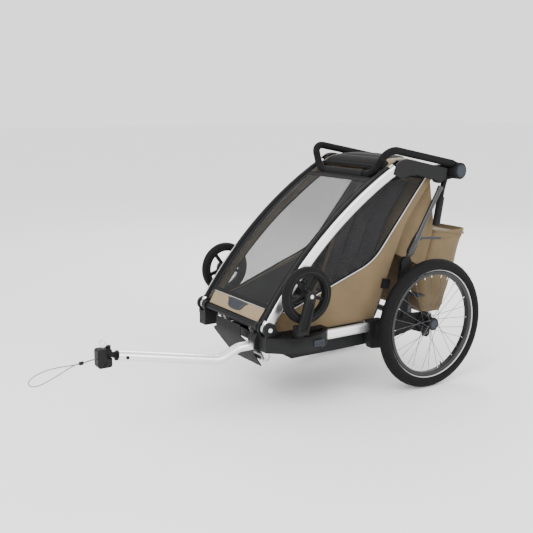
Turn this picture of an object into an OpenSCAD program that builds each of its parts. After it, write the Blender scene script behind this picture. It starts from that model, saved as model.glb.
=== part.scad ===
// Child bicycle trailer, single seat, folding frame.
// Side-profile figures are [distance behind the axle, height], with the axle at height 250;
// place() then moves everything so that the wheels touch Z = 0 and Y = 0 is mid-length.

/* [Wheels] */
// Outer radius of the rear tyres
wheel_r = 260; // [252:1:262]
// Width of the rear tyres
tyre_w = 48; // [40:1:50]
// Distance of each rear wheel's centre plane from the middle
wheel_x = 304; // [303:1:306]
// Spokes in each rear wheel
spoke_n = 28; // [20:4:36]
// Outer radius of the castor wheels
castor_r = 105; // [98:1:106]
// Width of the castor tyres
castor_w = 32; // [26:1:34]

/* [Frame] */
// Distance of the frame tubes' centre plane from the middle
tube_x = 226; // [225:0.5:227]
// Height of the oval frame tubes' section
tube_h = 46; // [40:1:48]
// Thickness of the oval frame tubes' section
tube_t = 25; // [20:1:26]
// Radius of the round struts
strut_r = 11; // [9:0.5:12]
// Radius of the footwell hoop tube
hoop_r = 16; // [13:0.5:17]

/* [Handlebar] */
// Radius of the handlebar tube
bar_r = 14.5; // [12:0.5:15]
// Radius of the foam sleeve on the handlebar
grip_r = 17; // [16:0.5:18]

/* [Tow arm] */
// Radius of the tow arm tube
arm_r = 17.5; // [15:0.5:17.5]
// Sideways position of the tow arm
arm_x = 176; // [175:1:177]
// Radius of the cross hole in the hitch
hitch_hole_r = 7; // [5:0.5:8]

/* [Cabin] */
// Half width of the cabin fabric
cabin_x = 206; // [200:1:207]
// Thickness of the fabric walls
skin_t = 4; // [3:0.5:5]
// Half width of the seat
seat_x = 155; // [140:1:165]

/* [Hidden] */
$fn = 48;
e = 0.01;
lift = wheel_r - 250;      // raises the axle line so that the tyres stand on Z = 0
y_shift = 518;             // moves the axle back so that Y = 0 is mid-length
axle = [0, 250];
// the diagonal tubes follow one large arc in side view
arc_c = [616.8, -539.8];
arc_r = 1593;
function arc_p(r, a) = [arc_c[0] + r*cos(a), arc_c[1] + r*sin(a)];
fold_p = arc_p(arc_r, 147.4);     // front pivot of the fold
knee = [-99, 496];                // lower pivot of the rear struts
strut_top = [73, 783];            // upper end of the rear struts
hub_p = [175, 842];               // handlebar pivot
castor_p = [292.5, -597, 439.4];  // left castor's wheel centre
stem_y = -632;                    // castor stem axis
wall = [[-215, 272], [-102, 545], [-60, 641], [75, 820]];  // rear edge of the cabin

module place() translate([0, y_shift, lift]) children();
module both() { children(); mirror([1, 0, 0]) children(); }
// a side profile [y, z], drawn from x0 and w wide along X
module side(x0, w) translate([x0, 0, 0]) rotate([90, 0, 90]) linear_extrude(w) children();
module xcyl(x0, x1, p, r, n = 48) translate([x0, p[0], p[1]]) rotate([0, 90, 0]) cylinder(h = x1 - x0, r = r, $fn = n);
module ycyl(y0, y1, x, z, r) translate([x, y1, z]) rotate([90, 0, 0]) cylinder(h = y1 - y0, r = r);
// a ring swept round the diagonal tubes' arc; the profile is [radius, x]
module arc_sweep(a0, a1) translate([0, arc_c[0], arc_c[1]]) rotate([90, 0, 90]) rotate([0, 0, a0])
  rotate_extrude(angle = a1 - a0, $fn = 360) children();
module stadium(h, t) { square([h - t, t], center = true); for (s = [-1, 1]) translate([s*(h - t)/2, 0]) circle(t/2); }
// a bent round bar through points p with bend radii b
function unit(v) = v/norm(v);
function turn(a, b) = acos(max(-1, min(1, a*b)));
function setback(p, b, i) = (i == 0 || i == len(p) - 1) ? 0
  : b[i]*tan(turn(unit(p[i] - p[i-1]), unit(p[i+1] - p[i]))/2);
module bent(p, b, r, n = 32) {
  for (i = [0 : len(p) - 2]) {
    d = unit(p[i+1] - p[i]);
    k0 = i == 0 ? 0 : 1;
    k1 = i == len(p) - 2 ? 0 : 1;
    s = p[i] + d*(setback(p, b, i) - k0);
    l = norm(p[i+1] - p[i]) - setback(p, b, i) - setback(p, b, i+1) + k0 + k1;
    translate(s) rotate([0, acos(d[2]), atan2(d[1], d[0])]) cylinder(h = l, r = r, $fn = n);
  }
  // elbows, a hair fuller than the straight runs that reach into them
  for (i = [1 : len(p) - 2]) {
    d0 = unit(p[i] - p[i-1]);
    d1 = unit(p[i+1] - p[i]);
    ph = turn(d0, d1);
    c = p[i] + unit(d1 - d0)*b[i]/cos(ph/2);
    ex = unit(p[i] - d0*setback(p, b, i) - c);
    ez = cross(ex, d0);
    multmatrix([[ex[0], d0[0], ez[0], c[0]], [ex[1], d0[1], ez[1], c[1]], [ex[2], d0[2], ez[2], c[2]], [0, 0, 0, 1]])
      rotate_extrude(angle = ph, $fn = 96) translate([b[i], 0]) circle(r + 0.15, $fn = n);
  }
}

// ---------- chassis ----------
module side_rails() color("silver") place() both()
  translate([tube_x, -222, 256]) rotate([90, 0, 0]) linear_extrude(298) rotate(90) stadium(40, tube_t - 1);

module corner_outline() polygon([[200, -742], [248, -742], [282, -704], [308, -668], [318, -628], [318, -585],
  [308, -540], [282, -500], [252, -470], [200, -470]]);
module front_corner() {
  difference() {
    union() {
      translate([0, 0, 236]) linear_extrude(56) corner_outline();
      // ears of the fold pivot
      for (x = [201, 239.2]) side(x, 12) union() {
        translate(fold_p) circle(26);
        polygon([[-742, 280], [-742, 318], [-722, 344], [-700, 318], [-672, 290], [-672, 280]]);
      }
      xcyl(201, 251, fold_p, 6);
      translate([castor_p[0], stem_y, 291]) cylinder(h = 8, r = 22);
    }
    // pocket of the side rail
    translate([tube_x, -470 + e, 256]) rotate([90, 0, 0]) linear_extrude(50.1) rotate(90) stadium(40.4, tube_t - 0.6);
    // sockets of the castor stem, stowed above and in use below
    translate([castor_p[0], stem_y, 266]) cylinder(h = 40, r = 13.05);
    translate([castor_p[0], stem_y, 230]) cylinder(h = 31, r = 13.05);
    // hollow between the socket and the rail
    translate([0, 0, 270]) linear_extrude(40) polygon([[246, -600], [268, -600], [284, -575], [278, -520], [252, -490], [246, -490]]);
    // recess of the release button
    translate([309, -580, 250]) cube([20, 44, 24]);
  }
}
module front_corner_left() color("#262728") place() front_corner();
module front_corner_right() color("#262728") place() mirror([1, 0, 0]) front_corner();

module castor_button_shape() translate([311.5, -579.6, 250.4]) difference() {
  cube([8, 43.2, 23.2]);
  translate([7, 5, 5]) cube([3, 33, 13]);
}
module castor_button_left() color("#454a52") place() castor_button_shape();
module castor_button_right() color("#454a52") place() mirror([1, 0, 0]) castor_button_shape();

module rear_corners() color("#1f2021") place() both() difference() {
  union() {
    // socket of the rail
    side(212, 31) polygon([[-262, 283], [-196, 283], [-180, 270], [-190, 165], [-250, 172], [-262, 200]]);
    // axle carrier
    side(242.5, 18) polygon([[-236, 268], [-180, 292], [-106, 300], [-50, 288], [30, 282], [46, 262], [46, 236],
      [16, 206], [-16, 206], [-60, 222], [-190, 200], [-236, 210]]);
    // upright with the strut's lower pivot boss
    side(242.5, 21) union() {
      polygon([[-134, 288], [-88, 288], [-82, 440], [-80, 496], [-123, 496], [-128, 440]]);
      translate(knee) circle(25);
      translate([-106, 291]) circle(20);
    }
    xcyl(260, 268, [-106, 291], 14);
  }
  translate([tube_x, -262 + 41, 256]) rotate([90, 0, 0]) linear_extrude(60) rotate(90) stadium(40.4, tube_t - 0.6);
  xcyl(240, 262, axle, 13.05);
  // fork slot that takes the lower end of the strut
  difference() { xcyl(249, 258, knee, 40); xcyl(240, 262, knee, 5); side(240, 24) polygon([[-160, 380], [-40, 380], [-40, 474], [-160, 474]]); }
}

module axle_beam() color("#2b2c2e") place() {
  xcyl(-260.4, 260.4, axle, 13);
  both() xcyl(260, 308, axle, 6);
  both() side(205, 6) translate([0, 250]) circle(24);
  // lugs and pin of the brake pedal
  for (x = [138, 164.3]) side(x, 7.7) polygon([[-10, 250], [-10, 285], [-4, 295], [5, 298], [14, 295], [20, 285], [20, 250]]);
  xcyl(139, 171, [5, 285], 4);
}
module brake_units() color("#1b1c1d") place() both() difference() {
  union() {
    xcyl(261, 272, axle, 40);
    side(261, 11) polygon([[-10, 215], [-4, 190], [14, 184], [28, 194], [30, 225]]);
  }
  xcyl(260, 274, axle, 6.05);
}
module floor_pan() color("#1c1d1e") place() difference() {
  side(-198, 396) polygon([[-634, 236], [-620, 192], [-596, 178], [-230, 178], [-195, 190], [-195, 236]]);
  side(-193, 386) polygon([[-630, 240], [-616, 196], [-594, 184], [-232, 184], [-201, 194], [-201, 240]]);
}
module bumper_bar() color("#2a2b2d") place() {
  xcyl(-198, 198, [-738, 322], 11);
  both() xcyl(182, 199.5, [-738, 322], 17);
}
module footwell_hoop() color("silver") place()
  bent([[114, -716, 304], [112, -642, 158], [-112, -642, 158], [-114, -716, 304]], [0, 38, 38, 0], hoop_r);
module footwell_panel() color("#3f4042") place() intersection() {
  side(-200, 400) polygon([[-752, 306], [-748, 306], [-748, 262], [-668, 136], [-662, 136], [-664, 132], [-676, 132], [-752, 258]]);
  translate([0, -600, 0]) rotate([90, 0, 0]) linear_extrude(200)
    polygon([[-88, 306], [88, 306], [92, 272], [134, 268], [128, 240], [106, 140], [90, 132], [-90, 132], [-106, 140], [-128, 240], [-134, 268], [-92, 272]]);
}
module tow_receiver() color("#232425") place() difference() {
  union() {
    side(152, 46) polygon([[-758, 240], [-758, 276], [-742, 300], [-700, 300], [-690, 290], [-690, 232], [-742, 228]]);
    // strap that bolts the receiver to the bumper bar
    side(158, 24) polygon([[-752, 296], [-722, 296], [-722, 309.5], [-752, 309.5]]);
  }
  ycyl(-760, -700, arm_x, 252, arm_r + 0.05);
  // hole of the lock pin
  translate([188.5, -728, 283]) rotate([0, 90, 0]) cylinder(h = 11, r = 7.05);
}
module receiver_pin() color("silver") place() {
  translate([193.5, -728, 283]) rotate([0, 90, 0]) cylinder(h = 4, r = 7);
  translate([197.49, -728, 283]) rotate([0, 90, 0]) cylinder(h = 2, r = 6);
}

// ---------- cabin ----------
function off(p, d) = [for (q = p) [q[0] + d, q[1]]];
function rev(p) = [for (i = [len(p) - 1 : -1 : 0]) p[i]];
module body_fabric() color("#8a775a") place() {
  both() side(cabin_x - skin_t, skin_t) difference() {
    polygon(concat([for (a = [145 : -1.5 : 119]) arc_p(arc_r - 2, a)], [[-60, 850], [-40, 849], [68, 829], [75, 820], [-60, 641], [-102, 545], [-215, 272], [-466, 272], [-466, 293], [-660, 293]]));
    polygon(concat([for (a = [144.6 : -1.5 : 119]) arc_p(arc_r - 27, a)], [[37, 822], [-62, 701], [-179, 553], [-243, 500], [-425, 433], [-590, 372]]));
  }
  // rear wall
  side(-cabin_x + skin_t, 2*(cabin_x - skin_t)) polygon(concat(wall, rev(off(wall, -4.5))));
  // floor skirt along the rails
  both() side(cabin_x - skin_t, skin_t) polygon([[-462, 272], [-215, 272], [-215, 238], [-462, 238]]);
}
// gussets and flap that join the cabin to the rear bag
module back_flap() color("#8a775a") place() {
  both() side(188, 2) polygon([[74.2, 817.5], [76, 817.5], [86, 760], [109, 620], [107, 610], [66, 450], [-107, 530], [-101, 545], [-59, 641]]);
  side(-188.5, 377) polygon([[74.4, 815], [76, 817.5], [86, 760], [109, 620], [107, 618.6], [84, 760]]);
}
module side_windows() color([0.25, 0.25, 0.26, 0.8]) place() both() side(cabin_x - skin_t + 0.7, 2.2)
  polygon(concat([for (a = [144.4 : -1.5 : 119]) arc_p(arc_r - 27.6, a)], [[35, 821], [-63, 701.5], [-180, 554], [-243.5, 501], [-425, 434], [-588, 373.5]]));
module side_buckles() color("#151516") place() both() side(cabin_x + 0.2, 12)
  polygon([[-182, 398], [-148, 392], [-140, 428], [-174, 436]]);
module seat_base() color("#3a3a3c") place() side(-seat_x, 2*seat_x)
  polygon([[-452, 262], [-452, 318], [-430, 336], [-262, 318], [-250, 300], [-236, 262]]);
module seat_back() color("#3a3a3c") place() side(-seat_x, 2*seat_x)
  polygon([[-226, 300], [-118, 556], [-74, 652], [34, 796], [16, 812], [-4, 806], [-106, 676], [-152, 590], [-254, 345], [-250, 316]]);
module harness() color("#202124") place() {
  for (x = [-70, 34]) side(x, 36) polygon([[-5, 807], [-9, 809], [-112, 680], [-158, 592], [-258, 347], [-254.3, 345], [-152.4, 591], [-106.3, 677]]);
  // lap and crotch straps
  side(-120, 36) polygon([[-262, 320], [-262, 326], [-300, 330], [-300, 324.2]]);
  side(84, 36) polygon([[-262, 320], [-262, 326], [-300, 330], [-300, 324.2]]);
  side(-14, 28) polygon([[-330, 327], [-330, 331], [-400, 338], [-400, 334.6]]);
  // buckle
  translate([-22, -318, 331.5]) rotate([-6, 0, 0]) cube([44, 48, 14]);
}
module front_cover() color("#2c2d2f") place() difference() {
  arc_sweep(121.7, 145.1) translate([1606, -cabin_x]) square([3, 2*cabin_x]);
  arc_sweep(122.6, 144.4) translate([1600, -190]) square([14, 380]);
}
module front_mesh() color([0.75, 0.75, 0.75, 0.5]) place()
  arc_sweep(122.63, 144.37) translate([1606.8, -189.5]) square([1.4, 379]);
module front_trim() color("#b39b78") place() difference() {
  arc_sweep(145.2, 146.95) translate([1604, -181]) square([4, 362]);
  translate([-30, -740, 346]) cube([60, 10, 22]);
}
module roof_panel() color("#3c3d3f") place() side(-199, 398)
  polygon([[-172, 866], [-132, 897], [-60, 900], [20, 888], [66, 868], [70, 842], [60, 842], [52, 862], [0, 878], [-60, 890], [-126, 888], [-164, 858]]);
module cargo_bag() color("#8a775a") place() difference() {
  side(-186, 372) polygon([[104, 615], [310, 583], [296, 541], [272, 444], [240, 373], [189, 258], [60, 254], [48, 300], [62, 450]]);
  side(-182, 364) polygon([[108, 622], [306.5, 590], [291, 540], [267, 445], [235.5, 375], [186, 262], [64, 258], [52.2, 300], [66.2, 450]]);
}
module brake_pedal() color("#33373d") place() difference() {
  union() {
    translate([116, -8, 343]) cube([122, 34, 8]);
    side(150, 10) polygon([[-4, 343.5], [14, 343.5], [10, 290], [0, 290]]);
    xcyl(146, 164, [5, 285], 9);
  }
  xcyl(140, 170, [5, 285], 4.05);
}

// ---------- upper frame ----------
module tube_band(g, a0 = 118.6) arc_sweep(a0, 147.1) translate([arc_r, tube_x]) stadium(tube_h + g, tube_t + g);
module diagonal_tubes() color("silver") place() both() difference() {
  union() {
    tube_band(0);
    xcyl(tube_x - tube_t/2 + 1.5, tube_x + tube_t/2 - 1.5, fold_p, 20);
  }
  xcyl(200, 252, fold_p, 6.05);
}
module top_pods() color("#2a2b2d") place() both() {
  difference() {
    union() {
      side(211, 30) polygon([[-160, 842], [-148, 880], [-120, 896], [-98, 899], [0, 880], [80, 862], [120, 853],
        [112, 812], [84, 796], [60, 812], [-50, 838], [-96, 830], [-118, 826]]);
      // arm that carries the handlebar hub, inboard of it
      side(200, 19) union() {
        polygon([[60, 864], [175, 874], [175, 810], [84, 798]]);
        translate(hub_p) circle(32);
      }
      xcyl(218, 236, hub_p, 8);
    }
    tube_band(0.4, 117.5);
  }
}
module cross_tubes() color("#222325") place() {
  xcyl(-210.6, 210.6, [-50, 862], 9);
  xcyl(-199.6, 199.6, [120, 830], 11);
}
module grab_handles() color("#28292b") place() both() {
  bent([[210, 140, 812], [222, 112, 764], [226, 84, 626]], [0, 30, 0], 11);
  bent([[223, 107, 740], [226, 84, 626]], [0, 0], 15);
}

// ---------- rear struts ----------
strut_d = unit([0, strut_top[0] - knee[0], strut_top[1] - knee[1]]);
function strut_p(s) = [253.5, knee[0] + strut_d[1]*s, knee[1] + strut_d[2]*s];
// a point s along the strut and o behind it, in the side view
function strut_q(s, o) = [knee[0] + strut_d[1]*s + strut_d[2]*o, knee[1] + strut_d[2]*s - strut_d[1]*o];
strut_l = norm(strut_top - knee);
module along_strut(s) translate(strut_p(s)) rotate([-atan2(strut_d[1], strut_d[2]), 0, 0]) children();
module rear_struts() color("#17181c") place() both() difference() {
  union() {
    side(249.3, 8.4) union() { translate(knee) circle(17); }
    along_strut(10) translate([-3.9, -9, 0]) cube([7.8, 18, 40]);
    along_strut(32) cylinder(h = strut_l - 32, r = strut_r - 1);
    along_strut(94) cylinder(h = 34, r = strut_r + 1.5);
    along_strut(strut_l - 14) cylinder(h = 16, r = strut_r);
    // broad lower casting
    side(246.5, 14) polygon([strut_q(36, -9), strut_q(46, -15), strut_q(98, -14), strut_q(118, -9), strut_q(118, 9), strut_q(98, 10), strut_q(80, 14), strut_q(46, 14), strut_q(36, 9)]);
    // cheeks and pin of the latch lever
    for (x = [247.4, 256.7]) side(x, 2.9) polygon([[latch_p[0] - 15, latch_p[1] - 9], [latch_p[0] - 12, latch_p[1] + 9], [latch_p[0] + 1, latch_p[1] + 5], [latch_p[0] + 5, latch_p[1]], [latch_p[0] + 1, latch_p[1] - 5]]);
    xcyl(248, 259, latch_p, 2);
  }
  xcyl(240, 262, knee, 5.05);
}
latch_p = [strut_p(106)[1] + 22, strut_p(106)[2]];
module latch_shape() place() difference() {
  union() {
    xcyl(250.9, 256.1, latch_p, 4.2);
    side(250.9, 5.2) polygon([[latch_p[0] - 2, latch_p[1] - 3.6], [latch_p[0], latch_p[1] + 4], [latch_p[0] + 84, latch_p[1] - 1],
      [latch_p[0] + 108, latch_p[1] - 5], [latch_p[0] + 108, latch_p[1] - 13], [latch_p[0] + 84, latch_p[1] - 10]]);
  }
  xcyl(240, 262, latch_p, 2.05);
}
module strut_latch_left() color("#3a3f47") latch_shape();
module strut_latch_right() color("#3a3f47") mirror([1, 0, 0]) latch_shape();

// ---------- handlebar ----------
bar_x = 236;
function bar_z(y) = 902.1 - 0.2037*y;
bar_pts = [[bar_x, 150, bar_z(150)], [bar_x, -186, bar_z(-186)], [170, -204, 837.4], [-170, -204, 837.4], [-bar_x, -186, bar_z(-186)], [-bar_x, 150, bar_z(150)]];
module handlebar_tube() color("#303133") place() difference() {
  union() {
    bent(bar_pts, [0, 46, 75, 75, 46, 0], bar_r);
    both() {
      xcyl(219.6, 258, hub_p, 33);
      side(224, 24) polygon([[140, 886], [176, 873], [180, 850], [150, 848]]);
    }
  }
  both() xcyl(210, 236.2, hub_p, 8.05);
  both() xcyl(252, 260, hub_p, 26);
}
module handlebar_grip() color("#1d1d1e") place() difference() {
  xcyl(-118, 118, [-204, 837.4], grip_r);
  xcyl(-120, 120, [-204, 837.4], bar_r + 0.05);
}
module handle_button_shape() union() { xcyl(256.2, 264, hub_p, 25.7); xcyl(263.9, 265, hub_p, 22); }
module handle_button_left() color("#2b2d31") place() handle_button_shape();
module handle_button_right() color("#2b2d31") place() mirror([1, 0, 0]) handle_button_shape();

// ---------- rear wheels ----------
module tyre_shape() translate([wheel_x, 0, 250]) rotate([0, 90, 0]) rotate_extrude($fn = 128) intersection() {
  translate([wheel_r - tyre_w/2, 0]) scale([1, 1]) circle(tyre_w/2, $fn = 40);
  translate([213, -40]) square([100, 80]);
}
module rim_shape() translate([wheel_x, 0, 250]) rotate([0, 90, 0]) rotate_extrude($fn = 128)
  polygon([[197, -7], [199, -12], [212.7, -14], [212.7, 14], [199, 12], [197, 7]]);
module spoke(i, s) {
  // one spoke from its flange to the rim, leaning round the wheel
  a = i*360/spoke_n;
  up = floor(i/2) % 2;
  lean = (up == 0 ? 1 : -1)*48;
  p0 = [s*(15.5 + 2.6*up), 25.4*cos(a + lean), 25.4*sin(a + lean)];
  p1 = [s*(3 + 1.2*up), 196.8*cos(a), 196.8*sin(a)];
  d = unit(p1 - p0);
  translate([wheel_x, 0, 250] + p0) rotate([0, acos(d[2]), atan2(d[1], d[0])]) cylinder(h = norm(p1 - p0), r = 1, $fn = 16);
}
module spokes_shape() for (i = [0 : spoke_n - 1]) spoke(i, i % 2 == 0 ? 1 : -1);
module hub_shape() difference() {
  union() {
    xcyl(274, 316, axle, 17);
    xcyl(285, 289, axle, 25);
    xcyl(318, 322, axle, 25);
    xcyl(304, 322, axle, 25);
  }
  xcyl(270, 309, axle, 6.05);
  xcyl(315, 323, axle, 18.2);
}
module hub_button_shape() union() { xcyl(319.5, 324, axle, 18); xcyl(323.9, 325, axle, 15); }
module wheel_left_tyre() color("#2e2e2f") place() tyre_shape();
module wheel_left_rim() color("#161617") place() rim_shape();
module wheel_left_spokes() color("#4a4b4d") place() spokes_shape();
module wheel_left_hub() color("#1a1b1c") place() hub_shape();
module wheel_left_button() color("#3d434d") place() hub_button_shape();
module wheel_right_tyre() color("#2e2e2f") place() mirror([1, 0, 0]) tyre_shape();
module wheel_right_rim() color("#161617") place() mirror([1, 0, 0]) rim_shape();
module wheel_right_spokes() color("#4a4b4d") place() mirror([1, 0, 0]) spokes_shape();
module wheel_right_hub() color("#1a1b1c") place() mirror([1, 0, 0]) hub_shape();
module wheel_right_button() color("#3d434d") place() mirror([1, 0, 0]) hub_button_shape();

// ---------- castors, stowed wheel-up in the front corners ----------
cx = castor_p[0];
cc = [castor_p[1], castor_p[2]];
module stem_shape() {
  translate([cx, stem_y, 267]) cylinder(h = 32.3, r = 13);
  translate([cx, stem_y, 299.2]) cylinder(h = 4.6, r = 18);
  translate([cx, stem_y, 303]) cylinder(h = 20, r = 7);
}
module fork_shape() difference() {
  union() {
    translate([cx, stem_y, 304.1]) cylinder(h = 26, r = 20);
    translate([cx, stem_y - 20, 304.1]) cube([19, 40, 26]);
    side(cx + 18.5, 14) union() {
      polygon([[stem_y - 24, 304.1], [stem_y + 22, 304.1], [cc[0] + 19, cc[1] - 6], [cc[0] - 18, cc[1] + 6]]);
      translate(cc) circle(19.5);
    }
    xcyl(cx - 15, cx + 19, cc, 6);
  }
  translate([cx, stem_y, 303]) cylinder(h = 21, r = 7.05);
  // recess in the fork's outer face
  side(cx + 30.5, 3) polygon([[stem_y - 12, 322], [stem_y + 14, 322], [cc[0] + 8, cc[1] - 26], [cc[0] - 10, cc[1] - 22]]);
}
module castor_wheel_shape() difference() {
  union() {
    translate([cx, cc[0], cc[1]]) rotate([0, 90, 0]) rotate_extrude($fn = 96) intersection() {
      translate([castor_r - castor_w/2, 0]) circle(castor_w/2, $fn = 40);
      translate([84, -30]) square([60, 60]);
    }
    translate([cx, cc[0], cc[1]]) rotate([0, 90, 0]) rotate_extrude($fn = 96)
      polygon([[72, -11], [74, -13], [85, -13.5], [85, 13.5], [74, 13], [72, 11]]);
    for (k = [0 : 4]) translate([cx, cc[0], cc[1]]) rotate([k*72 + 36, 0, 0]) translate([-6, -6, 12]) cube([12, 12, 62]);
    xcyl(cx - 14, cx + 15, cc, 19);
  }
  xcyl(cx - 20, cx + 20, cc, 6.05);
}
module castor_left_stem() color("#1f2022") place() stem_shape();
module castor_left_fork() color("#2f3133") place() fork_shape();
module castor_left_wheel() color("#232324") place() castor_wheel_shape();
module castor_right_stem() color("#1f2022") place() mirror([1, 0, 0]) stem_shape();
module castor_right_fork() color("#2f3133") place() mirror([1, 0, 0]) fork_shape();
module castor_right_wheel() color("#232324") place() mirror([1, 0, 0]) castor_wheel_shape();

// ---------- tow arm and hitch ----------
arm_pts = [[arm_x, -1273, 301], [arm_x, -893, 219], [arm_x, -812, 252], [arm_x, -702, 252]];
module tow_arm_tube() color("silver") place() bent(arm_pts, [0, 70, 60, 0], arm_r);
arm_d = unit(arm_pts[0] - arm_pts[1]);
module hitch_neck() color("#151516") place() {
  translate(arm_pts[0] + arm_d*0.1) rotate([0, acos(arm_d[2]), atan2(arm_d[1], arm_d[0])]) {
    cylinder(h = 5, r = 17);
    cylinder(h = 16.5, r1 = 11, r2 = 8);
  }
  difference() {
    hull() {
      translate([arm_x, -1303, 300.5]) cylinder(h = 14, r = 9, $fn = 32);
      translate([arm_x, -1287, 300.5]) cylinder(h = 14, r = 6.5, $fn = 32);
    }
    translate([arm_x, -1303, 300]) cylinder(h = 16, r = 4.05);
  }
  // head of the bolt that holds the neck in the tube
  translate([arm_x + arm_r + 0.1, -1244, 293]) rotate([0, 90, 0]) cylinder(h = 2, r = 6);
}
module hitch_body() color("#1b1b1c") place() difference() {
  union() {
    side(arm_x - 16, 32) polygon([[-1346, 277], [-1340, 270], [-1302, 270], [-1297, 276], [-1297, 328], [-1303, 333], [-1340, 334], [-1346, 328]]);
    translate([arm_x, -1303, 330]) cylinder(h = 10, r = 8);
  }
  // cross hole for the coupling on the bicycle's axle
  xcyl(arm_x - 17, arm_x + 17, [-1322, 284], hitch_hole_r);
  // hole of the ring pin
  translate([arm_x, -1322, 300]) cylinder(h = 40, r = 4.05);
  // slot that takes the eye of the neck, round its pivot bolt
  difference() {
    translate([arm_x - 17, -1313, 300]) cube([34, 20, 15]);
    translate([arm_x, -1303, 299]) cylinder(h = 17, r = 4);
  }
}
module hitch_pin() color("silver") place() {
  translate([arm_x, -1322, 301]) cylinder(h = 38, r = 4);
  difference() {
    xcyl(arm_x - 3.5, arm_x + 3.5, [-1322, 349], 13);
    xcyl(arm_x - 4, arm_x + 4, [-1322, 350], 6.5);
  }
}
// safety leash: a stiff coated cable, doubled, with a loop beyond the toggle
leash_r = 1.5;
leash_pts = [[177.6, -1346, 300], [177.6, -1352, 300], [177.6, -1362, 300], [177.6, -1385, 296.5], [177.6, -1408, 294.5], [177.4, -1430, 294.5], [177, -1455, 295],
  [176.5, -1482, 294.5], [176, -1508, 291.5], [176, -1532, 286], [176, -1552, 278], [176, -1565, 268], [176, -1568, 258],
  [176, -1561, 249.5], [176, -1548, 246.5], [176, -1532, 248], [175.5, -1512, 254], [175, -1490, 262], [174.8, -1466, 272],
  [174.6, -1444, 282], [174.4, -1426, 289.5], [174.4, -1408, 294.5], [174.4, -1385, 296.5], [174.4, -1362, 300], [174.4, -1352, 300], [174.4, -1346, 300]];
function cr(p0, p1, p2, p3, t) = 0.5*((2*p1) + (p2 - p0)*t + (2*p0 - 5*p1 + 4*p2 - p3)*t*t + (3*p1 - p0 - 3*p2 + p3)*t*t*t);
leash_n = 3;
leash_path = [for (i = [0 : len(leash_pts) - 2]) for (k = [0 : leash_n - 1])
    cr(leash_pts[max(0, i-1)], leash_pts[i], leash_pts[i+1], leash_pts[min(len(leash_pts) - 1, i+2)], k/leash_n),
  leash_pts[len(leash_pts) - 1]];
module sweep(path, r, n = 8) {
  m = len(path);
  tg = [for (i = [0 : m - 1]) unit(path[min(m - 1, i+1)] - path[max(0, i-1)])];
  pts = [for (i = [0 : m - 1]) let (u = [1, 0, 0], s = unit(u - tg[i]*(u*tg[i])), w = cross(tg[i], s))
    for (k = [0 : n - 1]) path[i] + r*(cos(k*360/n)*s + sin(k*360/n)*w)];
  polyhedron(points = pts, faces = concat(
    [[for (k = [n - 1 : -1 : 0]) k]],
    [for (i = [0 : m - 2]) for (k = [0 : n - 1]) [i*n + k, i*n + (k+1) % n, (i+1)*n + (k+1) % n, (i+1)*n + k]],
    [[for (k = [0 : n - 1]) (m - 1)*n + k]]));
}
module leash_cord() color("#6e7072") place() sweep(leash_path, leash_r);
module leash_toggle() color("#222222") place() difference() {
  translate([176, -1390, 296.07]) rotate([95, 0, 0]) cylinder(h = 13, r = 6);
  for (x = [174.4, 177.6]) translate([x, -1390, 296.07]) rotate([95, 0, 0]) translate([0, 0, -1]) cylinder(h = 15, r = 1.95, $fn = 24);
}

side_rails();
front_corner_left();
front_corner_right();
rear_corners();
axle_beam();
brake_units();
floor_pan();
bumper_bar();
footwell_hoop();
footwell_panel();
tow_receiver();
seat_base();
seat_back();
harness();
body_fabric();
back_flap();
side_windows();
side_buckles();
front_cover();
front_mesh();
front_trim();
roof_panel();
cargo_bag();
castor_button_left();
castor_button_right();
receiver_pin();
brake_pedal();
diagonal_tubes();
top_pods();
cross_tubes();
grab_handles();
rear_struts();
strut_latch_left();
strut_latch_right();
handlebar_tube();
handlebar_grip();
handle_button_left();
handle_button_right();
wheel_left_tyre();
wheel_left_rim();
wheel_left_spokes();
wheel_left_hub();
wheel_left_button();
wheel_right_tyre();
wheel_right_rim();
wheel_right_spokes();
wheel_right_hub();
wheel_right_button();
castor_left_stem();
castor_left_fork();
castor_left_wheel();
castor_right_stem();
castor_right_fork();
castor_right_wheel();
tow_arm_tube();
hitch_neck();
hitch_body();
hitch_pin();
leash_cord();
leash_toggle();
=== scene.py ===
import bpy, bmesh, math
from mathutils import Vector, Matrix, noise


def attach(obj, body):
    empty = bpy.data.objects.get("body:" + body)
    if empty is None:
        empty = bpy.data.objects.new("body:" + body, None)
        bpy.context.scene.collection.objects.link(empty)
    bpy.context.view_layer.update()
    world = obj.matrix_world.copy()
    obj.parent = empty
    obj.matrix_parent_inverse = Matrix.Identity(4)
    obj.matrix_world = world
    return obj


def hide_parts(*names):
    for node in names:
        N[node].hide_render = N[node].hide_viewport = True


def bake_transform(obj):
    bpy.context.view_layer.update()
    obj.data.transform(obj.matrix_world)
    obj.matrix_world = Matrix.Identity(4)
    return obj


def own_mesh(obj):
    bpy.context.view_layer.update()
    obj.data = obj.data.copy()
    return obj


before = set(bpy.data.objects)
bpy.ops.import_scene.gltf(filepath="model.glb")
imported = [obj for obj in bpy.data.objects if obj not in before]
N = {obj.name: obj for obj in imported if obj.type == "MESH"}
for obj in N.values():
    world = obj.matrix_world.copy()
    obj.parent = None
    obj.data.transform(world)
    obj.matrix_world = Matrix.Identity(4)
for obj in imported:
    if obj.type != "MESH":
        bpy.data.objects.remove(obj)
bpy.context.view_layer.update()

# ------------------------------------------------------------------ helpers
# Side-profile figures below are (distance behind the axle, height) in millimetres, as in the CAD;
# P() turns them into the row frame, in metres.
def P(x, y, z):
    return Vector((x / 1000.0, (y + 518.0) / 1000.0, (z + 10.0) / 1000.0))

AC, AR = (616.8, -539.8), 1593.0
def arc_p(r, a):
    return (AC[0] + r * math.cos(math.radians(a)), AC[1] + r * math.sin(math.radians(a)))

def lerp(a, b, t):
    return a + (b - a) * t

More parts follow.
